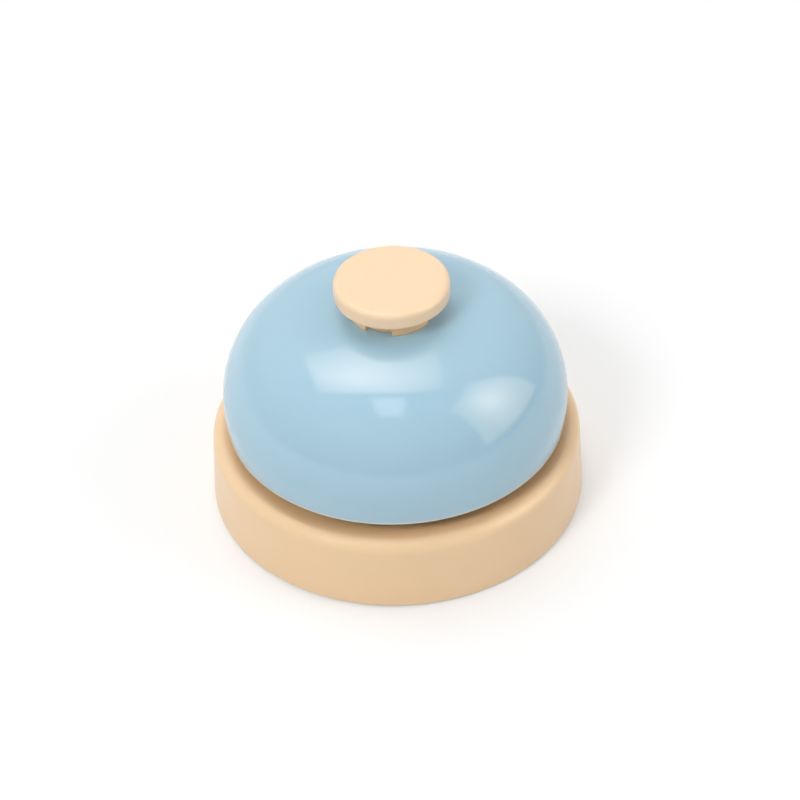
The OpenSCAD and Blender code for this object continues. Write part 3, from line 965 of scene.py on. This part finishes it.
@dataclass
class BaseGroup:
    """Moulded base with its cover, cover screws and feet."""

    wall: float = 2.2
    draft: float = 0.7
    deck: float = 2.4
    top_round: float = 2.3
    bottom_round: float = 0.3
    ceiling_round: float = 0.8
    cover_rounds: Pair = (0.35, 0.3)
    boss_r: float = 3.1
    boss_end: float = 2.0
    hole_r: float = 1.23
    hole_end: float = 1.0
    cover_hole: float = 7.0
    cover_screws: Ring = Ring(17.0, 90.0, 3)
    sink_over: float = 0.5
    sink_flare: float = 0.53
    sink_edge: float = 0.02
    screw_play: float = 0.05
    feet: int = 4
    foot_r: float = 4.5
    foot_fit: float = 0.03
    foot_first: float = 45.0
    foot_dish: float = 0.18
    sole: float = 1.1
    dish_slope: float = 0.5

    def build(self) -> None:
        """Build and dress the group."""
        self.shell()
        self.cover()
        self.screw_set()
        self.foot_set()

    def shell(self) -> None:
        """Build the base's moulding with its screw bosses."""
        low, high = box_of("base_housing")
        under = high.z - self.deck
        inner = high.x - self.draft - self.wall
        corners = [
            Corner(0.0, under),
            Corner(inner, under, self.ceiling_round),
            Corner(inner, low.z, self.bottom_round),
            Corner(high.x, low.z, self.bottom_round),
            Corner(high.x - self.draft, high.z, self.top_round),
            Corner(0.0, high.z),
        ]
        shell = turned("base_shell", outline_of(corners), segments=224)
        seat = box_of("base_cover")[1].z
        post_low = box_of("post_screws")[0].z - self.hole_end
        bosses = (
            (self.cover_screws, seat, seat - OVER, seat + self.cover_hole),
            (POST_SCREWS, post_low - self.boss_end, post_low, high.z + OVER),
        )
        inside = under + self.deck / 2
        for ring, boss_low, hole_low, hole_top in bosses:
            spots = ring.places()
            pegs = [pillar("boss", self.boss_r, boss_low, inside, spot) for spot in spots]
            work(shell, Cut.JOIN, pegs)
            holes = [pillar("hole", self.hole_r, hole_low, hole_top, spot) for spot in spots]
            work(shell, Cut.REMOVE, holes)
        finish_piece(settle(shell), SHELL_ABS, Body.BASE, "base_housing")

    def cover(self) -> None:
        """Build the cover with its countersinks and foot sockets."""
        low, high = box_of("base_cover")
        cover = turned("cover_plate", disc(high.x, low.z, high.z, *self.cover_rounds), segments=192)
        screw = Screw()
        shank = screw.thread_r + self.screw_play
        sink = [
            Corner(0.0, low.z - self.sink_over),
            Corner(screw.head_r + self.sink_flare, low.z - self.sink_over, self.sink_edge),
            Corner(shank, low.z + screw.head_h, self.sink_edge),
            Corner(shank, high.z + self.sink_over, self.sink_edge),
            Corner(0.0, high.z + self.sink_over),
        ]
        spots = self.cover_screws.places()
        tools = [turned("countersink", outline_of(sink), segments=48, place=spot) for spot in spots]
        socket_r = self.foot_r + self.foot_fit
        socket_top = box_of("rubber_feet")[1].z
        spots = self.foot_ring().places()
        tools += [pillar("socket", socket_r, low.z - OVER, socket_top, spot) for spot in spots]
        work(cover, Cut.REMOVE, tools)
        finish_piece(settle(cover), INNER_ABS, Body.BASE, "base_cover")

    def foot_ring(self) -> Ring:
        """Return the places of the feet."""
        reach = box_of("rubber_feet")[1].x - self.foot_r
        return Ring(reach / math.cos(math.radians(self.foot_first)), self.foot_first, self.feet)

    def screw_set(self) -> None:
        """Build the countersunk screws, heads down."""
        screw = Screw().flat_head("cover_screw_set")
        head = box_of("cover_screws")[0].z
        screw.data.transform(Matrix.Translation((0, 0, head * MM)) @ Matrix.Rotation(math.pi, 4, "X"))
        self.cover_screws.fill(screw, ZINC)
        finish_piece(screw, ZINC, Body.BASE, "cover_screws")

    def foot_set(self) -> None:
        """Build the feet, each with a shallow dish in its sole."""
        high = box_of("rubber_feet")[1].z
        dish_r = self.foot_r - self.sole
        corners = [
            Corner(0.0, self.foot_dish),
            Corner(dish_r - self.dish_slope, self.foot_dish, 0.6),
            Corner(dish_r, 0.0, 0.3),
            Corner(self.foot_r, 0.0, 0.35),
            Corner(self.foot_r, high, 0.15),
            Corner(0.0, high),
        ]
        foot = turned("rubber_foot_set", outline_of(corners), segments=64)
        self.foot_ring().fill(foot, FOOT_RUBBER)
        finish_piece(foot, FOOT_RUBBER, Body.BASE, "rubber_feet")


@dataclass
class BellGroup:
    """Enamelled bell, its cushion washer and the collar nut that holds it."""

    sheet: float = 0.9
    shoulder_r: float = 18.3
    skirt_r: float = 30.0
    crown_r: float = 72.0
    land_r: float = 8.3
    hole_r: float = 5.53
    hole_round: float = 0.1
    rim_round: float = 0.14
    # Pale band at the rim: partly thin enamel, partly a painted reflection of the base's bright edge
    rim_thin_and_reflection_colour: str = "E6E4DC"
    rim_band: Pair = (0.28, 0.42)
    cushion_rounds: tuple[float, ...] = (0.15, 0.25, 0.25, 0.15)
    nut_r: float = 8.0
    nut_slots: int = 4
    nut_slot_angle: float = 36.0
    nut_slot_depth: float = 1.0
    nut_turn: float = -20.0
    nut_bevel: float = 0.15

    def build(self) -> None:
        """Build and dress the group."""
        self.dome()
        self.cushion()
        self.nut()

    def dome(self) -> None:
        """Build the bell from a steep skirt, a round shoulder, a wide crown arc and a flat land."""
        low, high = box_of("bell_dome")
        skirt_x = high.x - self.skirt_r
        shoulder_x = high.x - self.shoulder_r
        crown_z = high.z - math.sqrt(self.crown_r ** 2 - self.land_r ** 2)
        equator = crown_z + math.sqrt((self.crown_r - self.shoulder_r) ** 2 - shoulder_x ** 2)
        meet = math.atan2(equator - crown_z, shoulder_x)
        sides, edges, above = [], [], []
        for inset, outward in ((0.0, True), (self.sheet, False)):
            skirt = self.skirt_r - inset
            crown = self.crown_r - inset
            if outward:
                land = math.acos(self.land_r / crown)
            else:
                land = math.asin((high.z - inset - crown_z) / crown)
            lowest = -math.asin((equator - low.z) / skirt)
            side = arc((skirt_x, equator), skirt, lowest + 2 * self.rim_round / skirt, 0.0, outward)
            side += arc((shoulder_x, equator), self.shoulder_r - inset, 0.0, meet, outward)[1:]
            side += arc((0.0, crown_z), crown, meet, land, outward)[1:]
            sides.append(side)
            edges.append(Corner(skirt_x + skirt * math.cos(lowest), low.z, self.rim_round))
            above.append(Corner(side[0].r, side[0].z))
        outside, inside = sides
        rim = rounded_corner(above[1], edges[1], edges[0]) + rounded_corner(edges[1], edges[0], above[0])
        under = high.z - self.sheet
        hole = [Corner(self.hole_r, z, self.hole_round) for z in (high.z, under)]
        crown_edge = outline_of([Corner(outside[-1].r, high.z), *hole, Corner(inside[-1].r, under)])
        loop = outside + crown_edge + list(reversed(inside)) + rim
        bell = turned("bell_shell", loop, segments=256, closed=True)
        # Baked enamel in sky blue, with a pale band at the rim: partly thin enamel at the edge, partly a
        # painted reflection of the base's bright edge
        start, end = (low.z + up for up in self.rim_band)
        enamel = BakedEnamel(
            "sky_blue_baked_enamel", Slot.ENAMEL, "A6C9DB", "A2C5D7", 14.0, (0.4, 0.5), 1.6, 0.0025,
            tint=Tint(self.rim_thin_and_reflection_colour, (start, end), Measure.FROM_GROUND),
        )
        finish_piece(bell, enamel, Body.BASE, "bell_dome")

    def cushion(self) -> None:
        """Build the rubber washer under the crown."""
        low, high = box_of("cushion_washer")
        outline = flat_ring(self.hole_r, high.x, low.z, high.z, self.cushion_rounds)
        washer = turned("cushion_ring", outline, segments=96, closed=True)
        finish_piece(washer, PAD_RUBBER, Body.BASE, "cushion_washer")

    def nut(self) -> None:
        """Build the slotted collar nut."""
        low, high = box_of("dome_nut")
        part = 360 / self.nut_slots
        loop = []
        for k in range(self.nut_slots):
            middle = self.nut_turn - 90 + k * part
            slot = [math.radians(middle + side * self.nut_slot_angle / 2) for side in (-1, 1)]
            after = math.radians(middle + part - self.nut_slot_angle / 2)
            loop += circle_points(self.nut_r - self.nut_slot_depth, *slot, steps=10)
            loop += circle_points(self.nut_r, slot[1], after, steps=16)
        hole = circle_points(self.hole_r, 0.0, math.tau, steps=72)[:-1]
        place = Matrix.Translation((0, 0, (low.z + high.z) / 2))
        nut = plate("collar_nut", [loop, hole], high.z - low.z, self.nut_bevel, place)
        # The collar's cream has the warm shade under the button painted into it
        finish_piece(nut, COLLAR_SHADED_ABS, Body.BASE, "dome_nut")


@dataclass
class PostGroup:
    """Post that carries the bell, its screws and the hammer's bumper."""

    radius: float = 6.0
    bore_r: float = 4.6
    flange_r: float = 11.5
    flange: float = 2.0
    seat_r: float = 8.2
    seat: float = 1.2
    spigot_r: float = 5.5
    spigot_bore_r: float = 4.3
    ledge: float = 2.0
    rod_hole_r: float = 1.55
    cheek_in: float = 2.45
    cheek: float = 1.8
    cheek_r: float = 3.0
    cheek_edge: float = 0.25
    pin_hole_r: float = 1.03
    window: Pair = (-4.93, 2.5)
    screw_hole_r: float = 1.35
    bumper_rounds: Pair = (0.1, 0.6)

    def build(self) -> None:
        """Build and dress the group."""
        self.post()
        self.screw_set()
        self.bumper()

    def outside(self) -> list[Station]:
        """Lay out the post without its bores and cheeks.

        Returns:
            Stations of its outside.
        """
        low, high = box_of("centre_post")
        seat = box_of("cushion_washer")[0].z
        neck = seat - self.seat - (self.seat_r - self.radius)
        corners = [
            Corner(0.0, low.z),
            Corner(self.flange_r, low.z, 0.2),
            Corner(self.flange_r, low.z + self.flange, 0.4),
            Corner(self.radius, low.z + self.flange, 0.15),
            Corner(self.radius, neck, 0.6),
            Corner(self.seat_r, seat - self.seat, 0.2),
            Corner(self.seat_r, seat, 0.1),
            Corner(self.spigot_r, seat, FINE_EDGE),
            Corner(self.spigot_r, high.z, 0.3),
            Corner(0.0, high.z),
        ]
        return outline_of(corners)

    def cheek_plate(self, side: int) -> Piece:
        """Make one of the two cheeks that hold the hammer's pin.

        Args:
            side: -1 for the front cheek and 1 for the back one.

        Returns:
            The cheek, to be joined to the post.
        """
        pivot = centre_of("hammer_pin")
        foot = box_of("centre_post")[0].z + self.flange / 2
        corner = circle_points(self.cheek_r, 0.0, math.pi / 2, steps=16)
        loop = [(0.0, foot), (pivot.x + self.cheek_r, foot)]
        loop += [(pivot.x + x, pivot.z + z) for x, z in corner]
        loop.append((0.0, pivot.z + self.cheek_r))
        place = Matrix.Translation((0, side * (self.cheek_in + self.cheek / 2), 0)) @ UPRIGHT
        return plate("cheek", [loop], self.cheek, self.cheek_edge, place)

    def post(self) -> None:
        """Build the post with its cheeks, bores, window and screw holes."""
        low, high = (corner.z for corner in box_of("centre_post"))
        ledge = box_of("spring_washer")[0].z
        under = ledge - self.ledge
        pivot = centre_of("hammer_pin")
        post = turned("bell_post", self.outside(), segments=128)
        work(post, Cut.JOIN, [self.cheek_plate(side) for side in (-1, 1)])
        reach = self.cheek_in + self.cheek + OVER
        tools = [
            pillar("lower_bore", self.bore_r, low - OVER, under),
            pillar("rod_hole", self.rod_hole_r, under - OVER, ledge + OVER),
            pillar("upper_bore", self.spigot_bore_r, ledge, high + OVER),
            pillar("pin_hole", self.pin_hole_r, -reach, reach, Matrix.Translation(pivot) @ UPRIGHT),
        ]
        sill, lintel = (pivot.z + z for z in self.window)
        opening = [(0.0, sill), (pivot.x, sill), (pivot.x, lintel), (0.0, lintel)]
        tools.append(plate("window", [opening], 2 * self.cheek_in, FINE_EDGE, UPRIGHT))
        top = low + self.flange + OVER
        spots = POST_SCREWS.places()
        tools += [pillar("screw_hole", self.screw_hole_r, low - OVER, top, spot) for spot in spots]
        work(post, Cut.REMOVE, tools)
        finish_piece(settle(post), INNER_ABS, Body.BASE, "centre_post")

    def screw_set(self) -> None:
        """Build the pan-head screws on the flange."""
        seat = box_of("centre_post")[0].z + self.flange
        screw = Screw().pan_head("post_screw_set")
        screw.data.transform(Matrix.Translation((0, 0, seat * MM)))
        POST_SCREWS.fill(screw, ZINC)
        finish_piece(screw, ZINC, Body.BASE, "post_screws")

    def bumper(self) -> None:
        """Build the rubber pad that the hammer falls back on."""
        low, high = box_of("hammer_bumper")
        outline = disc((high.x - low.x) / 2, low.z, high.z, *self.bumper_rounds)
        place = Matrix.Translation(((low.x + high.x) / 2, 0, 0))
        pad = turned("bumper_pad", outline, segments=48, place=place)
        finish_piece(pad, PAD_RUBBER, Body.BASE, "hammer_bumper")


@dataclass
class ButtonGroup:
    """Push button with its plunger, clip, spring and spring washer."""

    height: float = 3.0
    top_round: float = 1.0
    lip_round: float = 0.15
    top_thick: float = 1.4
    wall: float = 1.4
    stem_r: float = 4.0
    stem_in_r: float = 3.0
    core: float = 1.1
    rod_hole_r: float = 1.53
    rod_r: float = 1.5
    washer_play: float = 0.3
    washer_round: float = 0.08
    travel: float = 3.0
    wire_r: float = 0.3
    coil_r: float = 2.25
    turns: float = 5.0

    def build(self) -> None:
        """Build and dress the group."""
        self.cap()
        self.washer()
        self.spring()
        self.plunger()

    def cap(self) -> None:
        """Build the cap with its hollow stem."""
        low, high = box_of("button_cap")
        rod_top = box_of("plunger_rod")[1].z
        lip = high.z - self.height
        ceiling = high.z - self.top_thick
        core_low = ceiling - self.core
        inner = high.x - self.wall
        corners = [
            Corner(0.0, rod_top),
            Corner(self.rod_hole_r, rod_top, 0.1),
            Corner(self.rod_hole_r, core_low, 0.1),
            Corner(self.stem_in_r, core_low, 0.2),
            Corner(self.stem_in_r, low.z, 0.15),
            Corner(self.stem_r, low.z, 0.2),
            Corner(self.stem_r, ceiling, 0.5),
            Corner(inner, ceiling, 0.6),
            Corner(inner, lip, 0.2),
            Corner(high.x, lip, self.lip_round),
            Corner(high.x, high.z, self.top_round),
            Corner(0.0, high.z),
        ]
        cap = turned("push_button", outline_of(corners), segments=160)
        finish_piece(cap, BUTTON_ABS, Body.BUTTON, "button_cap")

    def washer(self) -> None:
        """Build the steel washer under the spring."""
        low, high = box_of("spring_washer")
        bore = box_of("plunger_rod")[1].x + self.washer_play
        outline = flat_ring(bore, high.x, low.z, high.z, [self.washer_round] * 4)
        washer = turned("spring_seat", outline, segments=72, closed=True)
        finish_piece(washer, ZINC, Body.BASE, "spring_washer")

    def spring(self) -> None:
        """Build the return spring at rest; the real one shortens with the button."""
        low, high = box_of("return_spring")
        spring = new_piece("return_coil", bpy.data.meshes.new("return_coil"))
        values = {
            "Coil radius": self.coil_r * MM,
            "Wire radius": self.wire_r * MM,
            "Turns": self.turns,
            "Low": (low.z + self.wire_r) * MM,
            "High": (high.z - self.wire_r) * MM,
            "Material": SPRING_STEEL.material(),
        }
        apply_group(spring, coil_spring(), values)
        finish_piece(spring, SPRING_STEEL, Body.BASE, "return_spring")
        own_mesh(spring)

    def plunger(self) -> None:
        """Build the plunger with its round tip, and the ring that holds it."""
        low, high = box_of("plunger_rod")
        ring_low, ring_high = box_of("plunger_clip")
        shoulder = low.z + self.rod_r
        corners = [
            Corner(self.rod_r, shoulder),
            *CLIP.groove_corners(self.rod_r, ring_low.z, ring_high.z),
            Corner(self.rod_r, high.z, 0.3),
            Corner(0.0, high.z),
        ]
        tip = arc((0.0, shoulder), self.rod_r, -math.pi / 2, 0.0)
        rod = turned("push_rod", tip[:-1] + outline_of(corners), segments=64)
        finish_piece(rod, ZINC, Body.BUTTON, "plunger_rod")
        middle = Matrix.Translation((0, 0, (ring_low.z + ring_high.z) / 2))
        place = middle @ Matrix.Rotation(math.pi, 4, "Z")
        ring = CLIP.ring("rod_ring", self.rod_r, ring_high.y, ring_high.z - ring_low.z, place)
        finish_piece(ring, SPRING_STEEL, Body.BUTTON, "plunger_clip")


@dataclass
class HammerGroup:
    """Hammer lever with its striker, push nut, pin and clip."""

    strike_angle: float = 6.0
    travel: float = 3.0
    lever_w: float = 4.6
    lever: float = 1.2
    lever_edge: float = 0.2
    hub_r: float = 2.2
    tail: float = 8.2
    arm_over: float = 2.6
    head_r: float = 3.3
    head_seat: float = 2.6
    stud_r: float = 1.2
    stud_end: float = 0.1
    stud_fit: float = 0.03
    nut_r: float = 2.4
    nut_round: float = 0.15
    plate: float = 0.6
    pin_r: float = 1.0
    pin_bore: float = 1.05
    pin_head_r: float = 1.6

    def build(self) -> None:
        """Build and dress the group."""
        self.lever_plate()
        self.striker()
        self.pin()

    def rest_angle(self) -> float:
        """Return the arm's slope at rest, below level, in radians."""
        return math.radians(self.strike_angle) + math.asin(self.travel / centre_of("hammer_pin").x)

    def arm_length(self) -> float:
        """Measure the arm.

        Returns:
            Distance from the pivot to the striker's axis along the arm.
        """
        high = box_of("hammer_head")[1]
        reach = Vector((high.x - self.head_r, 0, high.z - self.head_r)) - centre_of("hammer_pin")
        return reach.dot(Matrix.Rotation(self.rest_angle(), 3, "Y") @ Vector((1, 0, 0)))

    def on_arm(self, along: float, up: float) -> Matrix:
        """Return a place along the arm and above its middle, with X along it and Z towards the bell."""
        turn = Matrix.Rotation(self.rest_angle(), 4, "Y")
        return Matrix.Translation(centre_of("hammer_pin")) @ turn @ Matrix.Translation((along, 0, up))

    def lever_plate(self) -> None:
        """Build the two-armed lever with its pin bore and stud hole."""
        half = self.lever / 2
        spread = math.asin(half / self.hub_r)
        slope = -self.rest_angle()
        arm_end = self.arm_length() + self.arm_over - half
        swing = Matrix.Rotation(slope, 2)
        nose = circle_points(half, -math.pi / 2, math.pi / 2, steps=10)
        heel = circle_points(half, math.pi / 2, 3 * math.pi / 2, steps=10)
        loop = [(x - self.tail + half, z) for x, z in heel]
        loop += circle_points(self.hub_r, math.pi + spread, math.tau + slope - spread, steps=24)
        loop += [tuple(swing @ Vector((arm_end + x, z))) for x, z in nose]
        loop += circle_points(self.hub_r, slope + spread, math.pi - spread, steps=36)
        bore = circle_points(self.pin_bore, 0.0, math.tau, steps=40)[:-1]
        place = Matrix.Translation(centre_of("hammer_pin")) @ UPRIGHT
        lever = plate("strike_lever", [loop, bore], self.lever_w, self.lever_edge, place)
        spot = self.on_arm(self.arm_length(), 0.0)
        hole_r = self.stud_r + self.stud_fit
        work(lever, Cut.REMOVE, [pillar("stud_hole", hole_r, -self.lever, self.lever, spot)])
        finish_piece(settle(lever), ZINC, Body.HAMMER, "hammer_lever")

    def striker(self) -> None:
        """Build the round striker with its stud, and the push nut that holds it."""
        along = self.arm_length()
        stud = self.lever + self.plate + self.stud_end
        flat = math.asin(self.head_seat / self.head_r)
        foot = self.head_r * math.cos(flat)
        corners = [
            Corner(0.0, -stud),
            Corner(self.stud_r, -stud, 0.25),
            Corner(self.stud_r, 0.0, FINE_EDGE),
            Corner(foot, 0.0),
        ]
        ball = arc((0.0, self.head_seat), self.head_r, -flat, math.pi / 2)
        place = self.on_arm(along, self.lever / 2)
        head = turned("strike_head", outline_of(corners) + ball[1:], segments=64, place=place)
        finish_piece(head, ZINC, Body.HAMMER, "hammer_head")
        bore = self.stud_r + self.stud_fit
        rounds = (FINE_EDGE, self.nut_round, FINE_EDGE, FINE_EDGE)
        outline = flat_ring(bore, self.nut_r, -self.plate, 0.0, rounds)
        place = self.on_arm(along, -self.lever / 2)
        nut = turned("stud_nut", outline, segments=64, closed=True, place=place)
        finish_piece(nut, SPRING_STEEL, Body.HAMMER, "hammer_push_nut")

    def pin(self) -> None:
        """Build the pivot pin with its head, and the ring on its end."""
        low, high = box_of("hammer_pin")
        ring_low, ring_high = box_of("pin_clip")
        corners = [
            Corner(0.0, low.y),
            Corner(self.pin_head_r, low.y, 0.25),
            Corner(self.pin_head_r, low.y + self.plate, FINE_EDGE),
            Corner(self.pin_r, low.y + self.plate, FINE_EDGE),
            *CLIP.groove_corners(self.pin_r, ring_low.y, ring_high.y),
            Corner(self.pin_r, high.y, 0.2),
            Corner(0.0, high.y),
        ]
        along_pin = Matrix.Translation(centre_of("hammer_pin")) @ Matrix.Rotation(math.radians(-90), 4, "X")
        pin = turned("pivot_pin", outline_of(corners), segments=56, place=along_pin)
        finish_piece(pin, ZINC, Body.BASE, "hammer_pin")
        rim = (ring_high.z - ring_low.z) / 2
        place = along_pin @ Matrix.Translation((0, 0, (ring_low.y + ring_high.y) / 2))
        ring = CLIP.ring("pin_ring", self.pin_r, rim, ring_high.y - ring_low.y, place)
        finish_piece(ring, SPRING_STEEL, Body.BASE, "pin_clip")


# Studio


@dataclass(frozen=True)
class Softbox:
    """A flat studio lamp in metres, brightest where its bulb is.

    The light that it throws on matt surfaces and its image in glossy ones are set apart. Each
    has a strength at the lamp's edge and one at the bulb, whose place is given across and up the
    face from 0 to 1.
    """

    name: str
    centre: Triple
    facing: Triple
    along: Triple
    width: float
    height: float
    light: Pair
    image: Pair | None = None
    image_colour: str = WHITE
    image_ahead: float = 0.005
    bulb: Pair = (0.5, 0.5)
    bulb_reach: float = 1.0

    def hang(self) -> None:
        """Put the lamp into the scene."""
        self.part("light", self.light, WHITE, 0.0).visible_glossy = False
        if self.image:
            self.part("image", self.image, self.image_colour, self.image_ahead).visible_diffuse = False
        LOG.info("lamp %s", self.name)

    def part(self, role: str, levels: Pair, colour: str, ahead: float) -> Piece:
        """Put one part of the lamp into the scene.

        Args:
            role: What the part is, for its name.
            levels: Strength at the edge and at the bulb.
            colour: The light's colour.
            ahead: How far it hangs in front of the lamp's place.

        Returns:
            The lamp's object.
        """
        name = f"{self.name}_{role}"
        lamp = bpy.data.lights.new(name, "AREA")
        lamp.shape = "RECTANGLE"
        lamp.size = self.width
        lamp.size_y = self.height
        # At this energy a lamp's strength is the brightness of its face
        lamp.energy = 4 * self.width * self.height
        lamp.use_nodes = True
        self.shade(lamp.node_tree, levels, colour)
        holder = bpy.data.objects.new(name, lamp)
        back = -Vector(self.facing).normalized()
        across = Vector(self.along)
        across = (across - back * across.dot(back)).normalized()
        turn = Matrix((across, back.cross(across), back)).transposed()
        holder.matrix_world = Matrix.Translation(Vector(self.centre) - back * ahead) @ turn.to_4x4()
        holder.visible_camera = False
        bpy.context.scene.collection.objects.link(holder)
        return holder

    def shade(self, tree: Tree, levels: Pair, colour: str) -> None:
        """Let the brightness fall off from the bulb to the lamp's edge.

        Args:
            tree: The lamp's nodes.
            levels: Strength at the edge and at the bulb.
            colour: The light's colour.
        """
        spot = add_node(tree, "ShaderNodeNewGeometry").outputs["Parametric"]
        away = add_node(tree, "ShaderNodeVectorMath", {0: spot, 1: (*self.bulb, 0.0)}, operation="DISTANCE")
        edge, middle = levels
        span = {FROM_LOW: 0.0, FROM_HIGH: self.bulb_reach / 2, TO_LOW: middle, TO_HIGH: edge}
        level = add_node(tree, "ShaderNodeMapRange", {"Value": away.outputs["Value"], **span})
        glow = tree.nodes["Emission"]
        glow.inputs["Color"].default_value = to_linear(colour)
        tree.links.new(level.outputs[0], glow.inputs["Strength"])


# Lamps as the highlights and shadows of the photograph place them
LAMPS = (
    Softbox(
        "overhead_softbox", (-0.133, 0.367, 0.91), (0.101, 0.359, -0.928), (1, 0.05, 0.09), 0.715, 0.697,
        light=(1.05, 2.6), image=(1.2, 3.5), image_colour="FFE2CB", bulb=(0.45, 0.4), bulb_reach=0.95,
    ),
    Softbox(
        "small_overhead_panel", (-0.048, -0.235, 1.0), (0, 0, -1), (1, 0, 0), 0.23, 0.38,
        light=(0.85, 0.85), image=(1.3, 1.3),
    ),
    Softbox(
        "right_softbox", (0.8, -0.17, 0.77), (-1, 0, 0), (0, 1, 0), 0.76, 1.3,
        light=(0.58, 2.3), image=(1.05, 3.7), image_colour="FFEACC", bulb=(0.55, 0.44), bulb_reach=0.9,
    ),
    Softbox(
        "front_left_key", (-0.45, -0.55, 0.72), (0.45, 0.55, -0.7), (1, 0, 0), 0.28, 0.28,
        light=(12.0, 12.0),
    ),
)


@dataclass
class Studio:
    """Pale floor, soft lamps and the camera at the photograph's angle, in metres and degrees."""

    distance: float = 0.5
    elevation: float = 40.71
    roll: float = 1.96
    pivot: Triple = (0.0, 0.0, 0.0224)
    aim: Triple = (0.00081, -0.00148, 0.02068)
    lens: float = 121.3
    sensor: float = 36.0
    floor_size: float = 40.0
    floor_colour: str = "D6D6D6"
    floor_lift: float = 0.28
    room: float = 0.36
    room_focus: float = 3.0
    # Azimuth from +X, elevation and strength of the room's brighter sides
    room_sides: tuple[Triple, ...] = (
        (60, 10, 0.31),
        (120, 10, 0.44),
        (180, 10, 0.13),
        (240, 10, 0.26),
        (300, 10, 0.12),
        (90, 50, 0.14),
        (150, 50, 0.17),
        (210, 50, 0.06),
    )

    def build(self) -> None:
        """Build the whole studio."""
        bpy.context.scene.view_settings.view_transform = "Standard"
        self.camera()
        self.floor()
        self.world()
        for lamp in LAMPS:
            lamp.hang()

    def camera(self) -> None:
        """Set the camera where the photograph was taken from."""
        lift = math.radians(self.elevation)
        back = Vector((0, -math.cos(lift), math.sin(lift)))
        place = Vector(self.pivot) + back * self.distance
        look = (Vector(self.aim) - place).to_track_quat("-Z", "Y").to_matrix().to_4x4()
        data = bpy.data.cameras.new("studio_camera")
        data.lens = self.lens
        data.sensor_width = self.sensor
        camera = bpy.data.objects.new("studio_camera", data)
        roll = Matrix.Rotation(math.radians(-self.roll), 4, "Z")
        camera.matrix_world = Matrix.Translation(place) @ look @ roll
        bpy.context.scene.collection.objects.link(camera)
        bpy.context.scene.camera = camera

    def seen_directly(self, tree: Tree) -> Socket:
        """Add nodes that tell whether a ray comes from the camera, a mirror or glass.

        Args:
            tree: The tree that needs it.

        Returns:
            An output that is 1 for such a ray and 0 otherwise.
        """
        path = add_node(tree, "ShaderNodeLightPath").outputs
        seen = path["Is Camera Ray"]
        for way in ("Is Glossy Ray", "Is Transmission Ray"):
            seen = add_node(tree, "ShaderNodeMath", {0: seen, 1: path[way]}, operation="MAXIMUM").outputs[0]
        return seen

    def floor(self) -> None:
        """Lay the pale floor, which keeps the object's shadow."""
        half = self.floor_size / 2
        corners = [(-half, -half, 0), (half, -half, 0), (half, half, 0), (-half, half, 0)]
        mesh = bpy.data.meshes.new("studio_floor")
        mesh.from_pydata(corners, [], [(0, 1, 2, 3)])
        floor = new_piece("studio_floor", mesh)
        card = bpy.data.materials.new("pale_floor_card")
        card.use_nodes = True
        tree = card.node_tree
        tree.nodes.clear()
        matt = add_node(tree, "ShaderNodeBsdfDiffuse", {"Color": to_linear(self.floor_colour)})
        lift = {0: self.seen_directly(tree), 1: self.floor_lift}
        share = add_node(tree, "ShaderNodeMath", lift, operation="MULTIPLY")
        glow = add_node(tree, "ShaderNodeEmission", {"Strength": share})
        both = add_node(tree, "ShaderNodeAddShader", {0: matt, 1: glow})
        add_node(tree, "ShaderNodeOutputMaterial", {"Surface": both})
        mesh.materials.append(card)

    def world(self) -> None:
        """Light the room softly, a little more from some sides than from others."""
        world = bpy.data.worlds.new("studio_room")
        world.use_nodes = True
        tree = world.node_tree
        tree.nodes.clear()
        ray = add_node(tree, "ShaderNodeTexCoord").outputs["Generated"]
        level = self.room
        for azimuth, elevation, strength in self.room_sides:
            around = Matrix.Rotation(math.radians(azimuth), 3, "Z")
            side = around @ Matrix.Rotation(math.radians(-elevation), 3, "Y") @ Vector((1, 0, 0))
            towards = add_node(tree, "ShaderNodeVectorMath", {0: ray, 1: side}, operation="DOT_PRODUCT")
            front = {0: towards.outputs["Value"], 1: 0.0}
            facing = add_node(tree, "ShaderNodeMath", front, operation="MAXIMUM")
            power = {0: facing, 1: self.room_focus}
            focused = add_node(tree, "ShaderNodeMath", power, operation="POWER")
            more = {0: focused, 1: strength, 2: level}
            level = add_node(tree, "ShaderNodeMath", more, operation="MULTIPLY_ADD")
        room = add_node(tree, "ShaderNodeBackground", {"Strength": level})
        add_node(tree, "ShaderNodeOutputWorld", {"Surface": room})
        bpy.context.scene.world = world


def main() -> None:
    """Build the studio and every sub-assembly in order."""
    logging.basicConfig(level=logging.INFO, format="%(message)s")
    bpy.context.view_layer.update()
    for group in (Studio(), BaseGroup(), PostGroup(), BellGroup(), ButtonGroup(), HammerGroup()):
        group.build()


if __name__ == "__main__":
    main()
